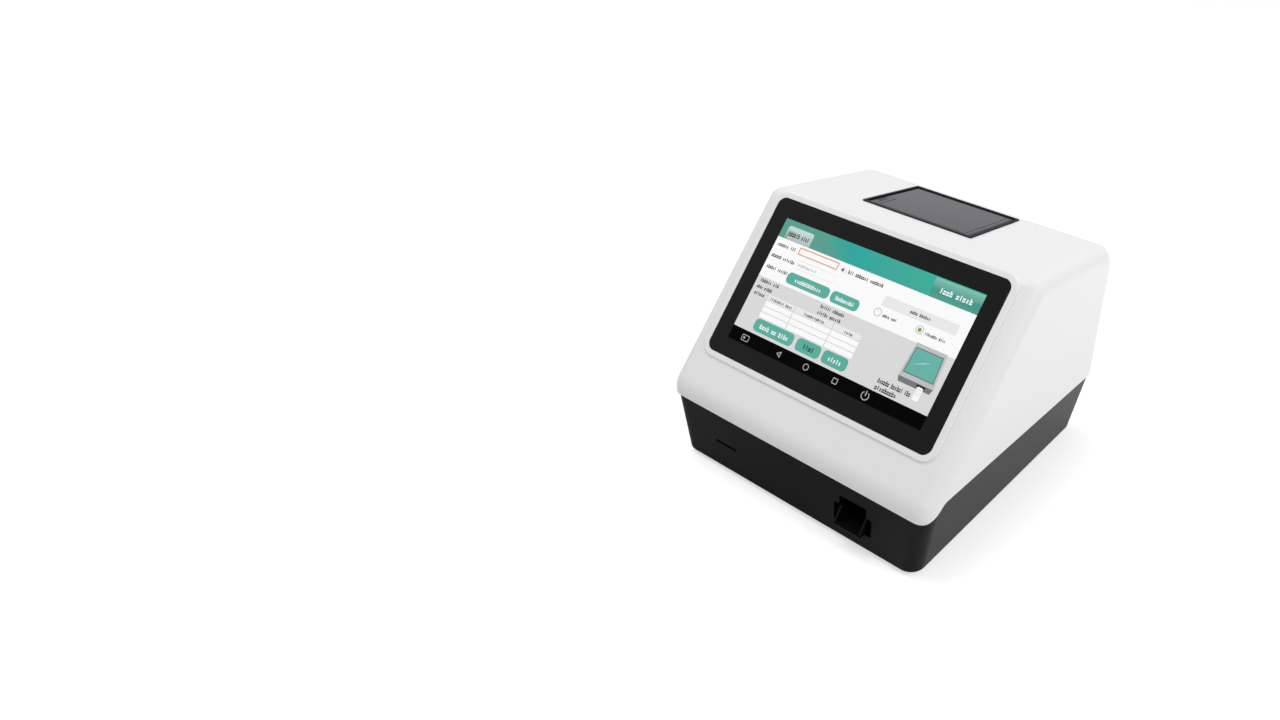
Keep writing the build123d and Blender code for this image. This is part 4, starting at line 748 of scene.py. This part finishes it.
# %% Header tab, menu corner and entry fields
TAB = (5.5, 4.3, 30.0, HEADER_END)
lay("tab_pale", box(*TAB, 2.0)[CORNER_STEPS + 1 :] + [(TAB[2], TAB[3]), (TAB[0], TAB[3])], 2)
lay("menu_teal", box(137.0, 0.8, PICTURE_WIDTH, HEADER_END), 2)


def framed(kind, a0, b0, a1, b1, radius, line, level):
    """A hollow tile: a rounded rectangle drawn as a line."""
    lay(
        kind, box(a0, b0, a1, b1, radius), level,
        box(a0 + line, b0 + line, a1 - line, b1 - line, radius - line * 0.6),
    )


framed("entry_orange", 23.5, 16.6, 61.0, 22.3, 0.8, 0.85, 2)
framed("line_grey", 64.2, 18.8, 69.2, 21.8, 1.4, 0.35, 2)
lay("edge_grey", disc(65.8, 20.3, 1.2), 2)
framed("strip_grey", 26.6, 25.8, 62.1, 32.6, 0.6, 0.5, 2)
for a0, b0, a1, b1 in ((24.2, 36.0, 64.5, 44.8), (66.2, 36.0, 91.5, 44.8),
                       (16.7, 76.6, 54.7, 86.4), (57.8, 76.6, 80.2, 86.4), (82.3, 76.6, 104.6, 86.4)):
    lay("button_teal", box(a0, b0, a1, b1, 3.4), 2)

# %% Table, method choice and their lines
TABLE = (17.2, 57.6, 104.8, 75.6)
lay("paper_white", box(*TABLE), 2)
lay("strip_grey", box(TABLE[0], TABLE[1], TABLE[2], 62.3), 3)
for b in (62.3, 66.8, 71.3):
    lay("line_grey", box(TABLE[0], b - 0.2, TABLE[2], b + 0.2), 4)
for a in (43.5, 79.6):
    lay("line_grey", box(a - 0.2, TABLE[1], a + 0.2, TABLE[3]), 5)
lay("strip_grey", box(107.5, 25.3, 169.0, 33.0), 2)
for a in (107.4, 143.1):
    lay("icon_grey", disc(a, 38.3, 3.1), 2, disc(a, 38.3, 2.6))
lay("dot_green", disc(143.1, 38.3, 1.55), 2)
lay("word_grey", box(106.9, 37.2, 107.9, 37.8), 2)
print(sorted(drawings))

# %% Small picture of the instrument with its card
lay("body_grey", [(145.6, 46.6), (170.6, 46.6), (172.2, 71.6), (143.6, 71.6)], 2)
lay("edge_grey", [(143.6, 71.6), (172.2, 71.6), (170.8, 75.4), (145.2, 75.4)], 2)
lay("edge_grey", [(146.7, 49.4), (169.2, 49.4), (170.5, 68.4), (145.4, 68.4)], 3)
lay("glass_teal", [(147.5, 50.2), (168.5, 50.2), (169.7, 67.6), (146.3, 67.6)], 4)
lay("menu_light", [(149.0, 61.6), (157.5, 57.2), (163.0, 56.0), (157.0, 59.0)], 5)
lay("bar_black", box(159.5, 72.3, 166.5, 73.9, 0.5), 3)
lay("paper_white", box(160.6, 73.4, 165.4, 83.0, 0.8), 4)
framed("line_grey", 161.6, 75.2, 164.4, 79.2, 0.8, 0.3, 5)

# %% Bar of icons
ICON_ROW = 94.1
POWER_MIDDLE = 127.9
RING_STEPS = 24
framed("icon_grey", 11.6, 91.8, 18.6, 96.6, 0.9, 0.55, 2)
lay("icon_grey", box(13.2, 93.4, 14.8, 95.0, 0.3), 2)
lay(
    "icon_grey", [(46.2, ICON_ROW), (50.2, 91.6), (50.2, 96.6)], 2,
    [(47.4, ICON_ROW), (49.5, 92.8), (49.5, 95.4)],
)
lay("icon_grey", disc(74.4, ICON_ROW, 2.5), 2, disc(74.4, ICON_ROW, 1.9))
framed("icon_grey", 98.9, 91.9, 103.3, 96.3, 0.5, 0.6, 2)
turns = [math.radians(35 + 290 * i / RING_STEPS) for i in range(RING_STEPS + 1)]
power_ring = []
for radius, way in ((3.3, turns), (2.6, turns[::-1])):
    power_ring += [(POWER_MIDDLE + radius * math.sin(t), ICON_ROW - radius * math.cos(t)) for t in way]
lay("icon_grey", power_ring, 2)
lay("icon_grey", box(POWER_MIDDLE - 0.4, 90.4, POWER_MIDDLE + 0.4, 94.2, 0.35), 2)
print("picture of", sum(len(drawing.faces) for drawing in drawings.values()), "faces without its words")

# %% [markdown]
# ## Lines of words
# The words of the real form aren't copied, and nothing here can be read. A tree sets small marks in
# their place, with the rhythm of letters: stacked bars and short or tall strokes. Each word is one
# row of points, and a fixed seed picks the mark on each. Only the length of a word is given.

# %% Tree for written marks
marks, given = new_tree(
    "written_marks", Count="Int", Pitch="Float", Height="Float", Thickness="Float", Seed="Int",
    Ink="Material",
)
step = add(marks, "ShaderNodeCombineXYZ", {"X": given["Pitch"]})
row = add(marks, "GeometryNodeMeshLine", {"Count": given["Count"], "Offset": step.outputs[0]}, mode="OFFSET")


def block(wide, tall, x, y):
    """A plate of a mark, in shares of the pitch and of the height, with its middle at a place."""
    plate = add(marks, "GeometryNodeMeshCube", {"Size": (wide, tall, 1.0)})
    return add(marks, "GeometryNodeTransform", {0: plate.outputs[0], "Translation": (x, y, 0.5)}).outputs[0]


def several(*plates):
    """Plates that make one mark together."""
    mark = add(marks, "GeometryNodeJoinGeometry")
    for plate in plates:
        marks.links.new(plate, mark.inputs[0])
    return mark.outputs[0]


low_bar = block(0.84, 0.30, 0.46, 0.15)
middle_bar = block(0.84, 0.28, 0.46, 0.58)
high_bar = block(0.44, 0.20, 0.30, 0.92)
short_stroke = block(0.42, 0.72, 0.46, 0.36)
tall_stroke = block(0.30, 1.0, 0.46, 0.5)
kinds = add(marks, "GeometryNodeJoinGeometry")
for mark in (several(low_bar, middle_bar), short_stroke, tall_stroke, several(low_bar, middle_bar, high_bar)):
    single = add(marks, "GeometryNodeGeometryToInstance", {0: mark})
    marks.links.new(single.outputs[0], kinds.inputs[0])
pick = add(marks, "FunctionNodeRandomValue", {4: 0, 5: 3, "Seed": given["Seed"]}, data_type="INT")
size = add(
    marks, "ShaderNodeCombineXYZ", {"X": given["Pitch"], "Y": given["Height"], "Z": given["Thickness"]},
)
word = add(marks, "GeometryNodeInstanceOnPoints", {
    "Points": row.outputs[0], "Instance": kinds.outputs[0], "Pick Instance": True,
    "Instance Index": pick.outputs[2], "Scale": size.outputs[0],
})
close_tree(marks, word.outputs[0], given["Ink"])


def write(kind, a0, a1, b, height, level, seed, words):
    """Words of marks from a0 to a1 whose middle lies at b; words gives how many marks each has."""
    pitch = (a1 - a0) / (sum(words) + len(words) - 1)
    for number, count in enumerate(words):
        word = grown(
            marks, Count=count, Pitch=pitch, Height=height, Thickness=tile_top(level), Seed=seed + number,
            Ink=inks[kind],
        )
        word.transform(Matrix.Translation(in_picture(a0, b + height / 2) + Vector((0, 0, TILE_LIFT))))
        drawings[kind].from_mesh(word)
        bpy.data.meshes.remove(word)
        a0 += pitch * (count + 1)


# %% [markdown]
# Each line of words has its left and right end, its middle and its height in millimetres, and then
# how many marks each of its words has. The seeds lie far enough apart that no two lines share one.

# %% Words of the form
WORD_LEVEL = 5
SEED_STEP = 7
DARK_SEED = 11
WHITE_SEED = 211
GREY_SEED = 301
dark_words = (
    (7.8, 27.7, 10.0, 3.6, (6, 4)), (3.1, 20.8, 20.0, 2.6, (6, 3)), (70.8, 102.2, 20.2, 2.6, (3, 7, 7)),
    (2.2, 25.1, 29.3, 2.6, (6, 7)), (2.6, 23.4, 38.4, 2.6, (6, 6)), (3.5, 21.8, 49.9, 2.4, (6, 3)),
    (3.1, 18.1, 55.0, 2.4, (4, 5)), (3.5, 13.6, 60.2, 2.4, (6,)), (62.6, 84.5, 50.2, 2.4, (6, 7)),
    (62.2, 83.6, 55.0, 2.4, (6, 6)), (19.8, 41.0, 60.2, 2.0, (9, 4)), (52.5, 71.6, 60.2, 2.0, (12,)),
    (90.0, 97.6, 60.2, 2.0, (4,)), (130.5, 147.3, 29.2, 2.2, (4, 6)), (112.0, 124.0, 39.0, 2.0, (5, 4)),
    (147.8, 164.5, 39.2, 2.0, (8, 4)), (131.5, 158.6, 80.6, 3.3, (6, 6, 3)), (131.5, 149.6, 85.6, 3.3, (9,)),
    (64.2, 74.6, 81.6, 3.6, (4,)),
)
white_words = (
    (143.6, 170.0, 8.4, 3.8, (4, 5)), (32.0, 57.0, 40.6, 2.9, (12,)), (70.6, 87.6, 40.6, 2.9, (11,)),
    (22.2, 50.0, 81.7, 3.4, (4, 2, 4)), (87.6, 99.6, 81.7, 3.4, (5,)),
)
for kind, lines, seed in (("word_dark", dark_words, DARK_SEED), ("paper_white", white_words, WHITE_SEED)):
    for number, (*place, words) in enumerate(lines):
        write(kind, *place, WORD_LEVEL, seed + SEED_STEP * number, words)
write("word_grey", 28.4, 46.0, 29.2, 2.2, 3, GREY_SEED, (9,))
print(len(dark_words) + len(white_words) + 1, "lines of words")

# %% Pieces of the picture
for kind, drawing in drawings.items():
    bmesh.ops.transform(drawing, matrix=on_glass, verts=drawing.verts)
    picture = as_mesh(drawing, "picture_" + kind)
    finish_piece("picture_" + kind, picture, "housing", inks[kind])

# %% [markdown]
# ## Lines on the printer's lid
# The lid is moulded with a thin groove a few millimetres inside its front and right edges, and a
# small dot near the front corner. Both are too fine for the CAD solid, so they are dark tiles a few
# hundredths of a millimetre thick on the lid, and they turn with it. The groove's dark line is
# painted shade, the shade that falls in the groove; the dot is a small dark disc.

# %% Groove and dot of the lid
GROOVE_INSET = 2.6
GROOVE_WIDTH = 0.55
DOT_RADIUS = 0.7
DOT_FROM_RIGHT = 9.0
DOT_FROM_FRONT = 3.4
# Painted shade: the groove's near-black colour stands in for the shade in the groove, and the dot shares it.
groove_shade_and_dot = moulded("groove_shadow", "#0e0d0f", "#141315", 0.7, 0.9, 0.004, Specular_IOR_Level=0.1)
low, high = face_box("printer_lid", -ROOF_TILT)
half_x = (high.x - low.x) / 2 / MM - GROOVE_INSET
half_y = (high.y - low.y) / 2 / MM - GROOVE_INSET
inner_x = half_x - GROOVE_WIDTH
inner_y = GROOVE_WIDTH - half_y
groove = [
    (-half_x, -half_y), (half_x, -half_y), (half_x, half_y), (inner_x, half_y), (inner_x, inner_y),
    (-half_x, inner_y),
]
dot = disc(half_x - DOT_FROM_RIGHT, DOT_FROM_FRONT - half_y, DOT_RADIUS)
lid_lines = bmesh.new()
for outline in (groove, dot):
    tile(lid_lines, [[Vector((x, y, 0)) for x, y in outline]], TILE_LIFT, tile_top(1))
bmesh.ops.transform(lid_lines, matrix=on_lid, verts=lid_lines.verts)
lid_mesh = as_mesh(lid_lines, "lid_lines")
finish_piece("lid_lines", lid_mesh, "printer_lid", groove_shade_and_dot)

# %% [markdown]
# ## Cross-head screws
# The case, the screen's frame and the boards are held by pan-head screws with a cross recess. The
# CAD has them plain, so a tree draws one screw from its sizes, with the cross cut out of a slightly
# tapered head. It runs once for each loose part of the CAD piece, with that part's size, and the
# screw is set where the part is.

# %% Tree for screws
HEAD_TAPER = 0.78
CROSS_LENGTH = 1.15
CROSS_WIDTH = 0.24
screws, given = new_tree(
    "cross_head_screws",
    **{
        "Head Radius": "Float", "Head Height": "Float", "Shank Radius": "Float", "Shank Length": "Float",
        "Metal": "Material",
    },
)


def turned(radius, other_radius, height, base):
    """A turned step of the screw that stands on a height, as a cone between two radii."""
    step = add(
        screws, "GeometryNodeMeshCone",
        {"Vertices": 20, "Radius Bottom": radius, "Radius Top": other_radius, "Depth": height},
    )
    place = add(screws, "ShaderNodeCombineXYZ", {"Z": base})
    return add(screws, "GeometryNodeTransform", {0: step.outputs[0], "Translation": place.outputs[0]})


top_radius = add(screws, "ShaderNodeMath", {0: given["Head Radius"], 1: HEAD_TAPER}, operation="MULTIPLY")
foot = add(screws, "ShaderNodeMath", {0: given["Shank Length"], 1: -1.0}, operation="MULTIPLY")
head = turned(given["Head Radius"], top_radius.outputs[0], given["Head Height"], 0.0)
shank = turned(given["Shank Radius"], given["Shank Radius"], given["Shank Length"], foot.outputs[0])
head_size = add(
    screws, "ShaderNodeCombineXYZ",
    {"X": given["Head Radius"], "Y": given["Head Radius"], "Z": given["Head Height"]},
)
head_top = add(screws, "ShaderNodeCombineXYZ", {"Z": given["Head Height"]})
cross = add(screws, "GeometryNodeJoinGeometry")
for wide, deep in ((CROSS_LENGTH, CROSS_WIDTH), (CROSS_WIDTH, CROSS_LENGTH)):
    size = add(
        screws, "ShaderNodeVectorMath", {0: head_size.outputs[0], 1: (wide, deep, 1.0)}, operation="MULTIPLY",
    )
    bar = add(screws, "GeometryNodeMeshCube", {"Size": size.outputs[0]})
    lifted = add(screws, "GeometryNodeTransform", {0: bar.outputs[0], "Translation": head_top.outputs[0]})
    screws.links.new(lifted.outputs[0], cross.inputs[0])
cut_head = add(
    screws, "GeometryNodeMeshBoolean",
    {"Mesh 1": head.outputs[0], "Mesh 2": cross.outputs[0], "Self Intersection": True}, solver="EXACT",
    operation="DIFFERENCE",
)
whole = add(screws, "GeometryNodeJoinGeometry", {0: cut_head.outputs[0]})
screws.links.new(shank.outputs[0], whole.inputs[0])
close_tree(screws, whole.outputs[0], given["Metal"])

# %% Screws in place of the plain ones
SHANK_RADIUS = 1.45
HEAD_HEIGHT = 2.0
SHORTEST_SHANK = 0.4
SAME_PLACE = 0.001


def loose_parts(name):
    """The corners of each loose part of a CAD piece."""
    whole = bmesh.new()
    whole.from_mesh(frame["nodes"][name].data)
    bmesh.ops.remove_doubles(whole, verts=whole.verts, dist=SAME_PLACE * MM)
    left = set(whole.verts)
    parts = []
    while left:
        front = [left.pop()]
        part = []
        while front:
            corner = front.pop()
            part.append(corner.co.copy())
            near = {edge.other_vert(corner) for edge in corner.link_edges} & left
            left -= near
            front += near
        parts.append(part)
    whole.free()
    return parts


def screw_set(name, out):
    """Cross-head screws in place of a CAD node, their heads towards out."""
    turn = out.to_track_quat("Z", "Y").to_matrix()
    steel = finishes["ground_steel"]
    made = bmesh.new()
    for part in loose_parts(name):
        low, high = corner_box([turn.inverted() @ corner for corner in part])
        seat = Vector(((low.x + high.x) / 2, (low.y + high.y) / 2, high.z - HEAD_HEIGHT * MM))
        mesh = grown(screws, **{
            "Head Radius": (high.x - low.x) / 2 / MM, "Head Height": HEAD_HEIGHT,
            "Shank Radius": SHANK_RADIUS, "Metal": steel,
            "Shank Length": max((high.z - low.z) / MM - HEAD_HEIGHT, SHORTEST_SHANK),
        })
        mesh.transform(Matrix.Translation(turn @ seat) @ turn.to_4x4() @ Matrix.Scale(MM, 4))
        made.from_mesh(mesh)
        bpy.data.meshes.remove(mesh)
    joined = as_mesh(made, "cross_head_" + name)
    piece = finish_piece("cross_head_" + name, joined, "housing", steel)
    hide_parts(name)


screw_set("case_screws", -skyward)
screw_set("display_screws", -glass_out)
screw_set("board_screws", skyward)

# %% [markdown]
# ## Thread of the lead screw
# The tray is driven by a screw with a steep thread of four starts, one turn for 4 mm. The CAD has a
# plain rod at the thread's outside, so a tree sweeps a small ridge along a spiral round a thinner
# core and sets it there once for each start. All of it turns with the motor.

# %% Tree for a threaded rod
THREAD_LEAD = 4.0
THREAD_STARTS = 4
THREAD_DEPTH = 0.3
thread, given = new_tree(
    "threaded_rod", Length="Float", Lead="Float", Starts="Int", Radius="Float", Depth="Float",
    Steel="Material",
)
core_radius = add(
    thread, "ShaderNodeMath", {0: given["Radius"], 1: given["Depth"]}, operation="SUBTRACT",
).outputs[0]
threaded = add(
    thread, "ShaderNodeMath", {0: given["Length"], 1: given["Lead"]}, operation="SUBTRACT",
).outputs[0]
turns = add(thread, "ShaderNodeMath", {0: threaded, 1: given["Lead"]}, operation="DIVIDE")
spiral = add(thread, "GeometryNodeCurveSpiral", {
    "Resolution": 20, "Rotations": turns.outputs[0], "Height": threaded, "Start Radius": core_radius,
    "End Radius": core_radius,
})
ridge = add(
    thread, "GeometryNodeCurvePrimitiveCircle", {"Resolution": 4, "Radius": given["Depth"]}, mode="RADIUS",
)
spiral = add(thread, "GeometryNodeSetCurveNormal", {0: spiral.outputs[0]}, mode="Z_UP")
swept = add(
    thread, "GeometryNodeCurveToMesh",
    {"Curve": spiral.outputs[0], "Profile Curve": ridge.outputs[0], "Fill Caps": True},
)
half_lead = add(thread, "ShaderNodeMath", {0: given["Lead"], 1: 0.5}, operation="MULTIPLY")
start = add(thread, "ShaderNodeCombineXYZ", {"Z": half_lead.outputs[0]})
swept = add(thread, "GeometryNodeTransform", {0: swept.outputs[0], "Translation": start.outputs[0]})
starts = add(thread, "GeometryNodeMeshLine", {"Count": given["Starts"], "Offset": (0, 0, 0)}, mode="OFFSET")
number = add(thread, "GeometryNodeInputIndex")
whole_turns = add(thread, "ShaderNodeMath", {0: number.outputs[0], 1: 2 * math.pi}, operation="MULTIPLY")
share = add(thread, "ShaderNodeMath", {0: whole_turns.outputs[0], 1: given["Starts"]}, operation="DIVIDE")
lie = add(thread, "ShaderNodeCombineXYZ", {"Z": share.outputs[0]})
swept = add(
    thread, "GeometryNodeInstanceOnPoints",
    {"Points": starts.outputs[0], "Instance": swept.outputs[0], "Rotation": lie.outputs[0]},
)
core = add(
    thread, "GeometryNodeMeshCylinder", {"Vertices": 24, "Radius": core_radius, "Depth": given["Length"]},
)
half_length = add(thread, "ShaderNodeMath", {0: given["Length"], 1: 0.5}, operation="MULTIPLY")
middle = add(thread, "ShaderNodeCombineXYZ", {"Z": half_length.outputs[0]})
core = add(thread, "GeometryNodeTransform", {0: core.outputs[0], "Translation": middle.outputs[0]})
both = add(thread, "GeometryNodeJoinGeometry", {0: swept.outputs[0]})
thread.links.new(core.outputs[0], both.inputs[0])
close_tree(thread, both.outputs[0], given["Steel"])

rod_low, rod_high = (Vector(corner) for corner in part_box("lead_screw"))
rod_mesh = grown(
    thread, Length=(rod_high.y - rod_low.y) / MM, Lead=THREAD_LEAD, Starts=THREAD_STARTS, Depth=THREAD_DEPTH,
    Radius=(rod_high.x - rod_low.x) / 2 / MM, Steel=finishes["ground_steel"],
)
rod_end = Vector(((rod_low.x + rod_high.x) / 2, rod_low.y, (rod_low.z + rod_high.z) / 2))
along = Vector((0, 1, 0)).to_track_quat("Z", "Y").to_matrix().to_4x4()
rod_mesh.transform(Matrix.Translation(rod_end) @ along @ Matrix.Scale(MM, 4))
rod = finish_piece("lead_screw_thread", rod_mesh, "lead_screw", finishes["ground_steel"])
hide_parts("lead_screw")

# %% [markdown]
# ## Contacts in the sockets
# Each USB socket has four gold springs under its tongue, and the network socket has eight gold wires
# on its floor. They are seen from behind, inside the metal shells. One tree sets them in a row with
# an even pitch. Gold is a metal with its own warm colour.

# %% Tree for rows of contacts
contacts, given = new_tree(
    "contact_row", Count="Int", Pitch="Float", Width="Float", Thickness="Float", Length="Float",
    Gold="Material",
)
step = add(contacts, "ShaderNodeCombineXYZ", {"X": given["Pitch"]})
row = add(
    contacts, "GeometryNodeMeshLine", {"Count": given["Count"], "Offset": step.outputs[0]}, mode="OFFSET",
)
size = add(
    contacts, "ShaderNodeCombineXYZ", {"X": given["Width"], "Y": given["Length"], "Z": given["Thickness"]},
)
blade = add(contacts, "GeometryNodeMeshCube", {"Size": size.outputs[0]})
placed = add(
    contacts, "GeometryNodeInstanceOnPoints", {"Points": row.outputs[0], "Instance": blade.outputs[0]},
)
close_tree(contacts, placed.outputs[0], given["Gold"])

# %% Contacts of the USB and network sockets
CONTACT_THICKNESS = 0.15
CONTACT_LENGTH = 7.5
CONTACT_INSET = 6.2
USB_CONTACTS = {"Count": 4, "Pitch": 2.5, "Width": 1.0}
USB_TONGUE_LOW = 3.7
LAN_CONTACTS = {"Count": 8, "Pitch": 1.02, "Width": 0.45}
LAN_WIRE_TOP = 2.35

gold = drawn_metal("gold_flashed_contact", "#d8b45a", "#cda84c", 0.24, (1.0, 0.1, 1.0), 0.002)
pins = bmesh.new()
rows = [(USB_CONTACTS, USB_TONGUE_LOW, part) for part in loose_parts("usb_ports")]
rows += [(LAN_CONTACTS, LAN_WIRE_TOP, part) for part in loose_parts("lan_port")]
for sizes, top, part in rows:
    low, high = corner_box(part)
    mesh = grown(contacts, Thickness=CONTACT_THICKNESS, Length=CONTACT_LENGTH, Gold=gold, **sizes)
    half_row = sizes["Pitch"] * (sizes["Count"] - 1) / 2
    x = (low.x + high.x) / 2 - half_row * MM
    y = high.y - CONTACT_INSET * MM
    z = low.z + (top - CONTACT_THICKNESS / 2) * MM
    mesh.transform(Matrix.Translation((x, y, z)) @ Matrix.Scale(MM, 4))
    pins.from_mesh(mesh)
    bpy.data.meshes.remove(mesh)
pin_mesh = as_mesh(pins, "socket_contacts")
finish_piece("socket_contacts", pin_mesh, "housing", gold)
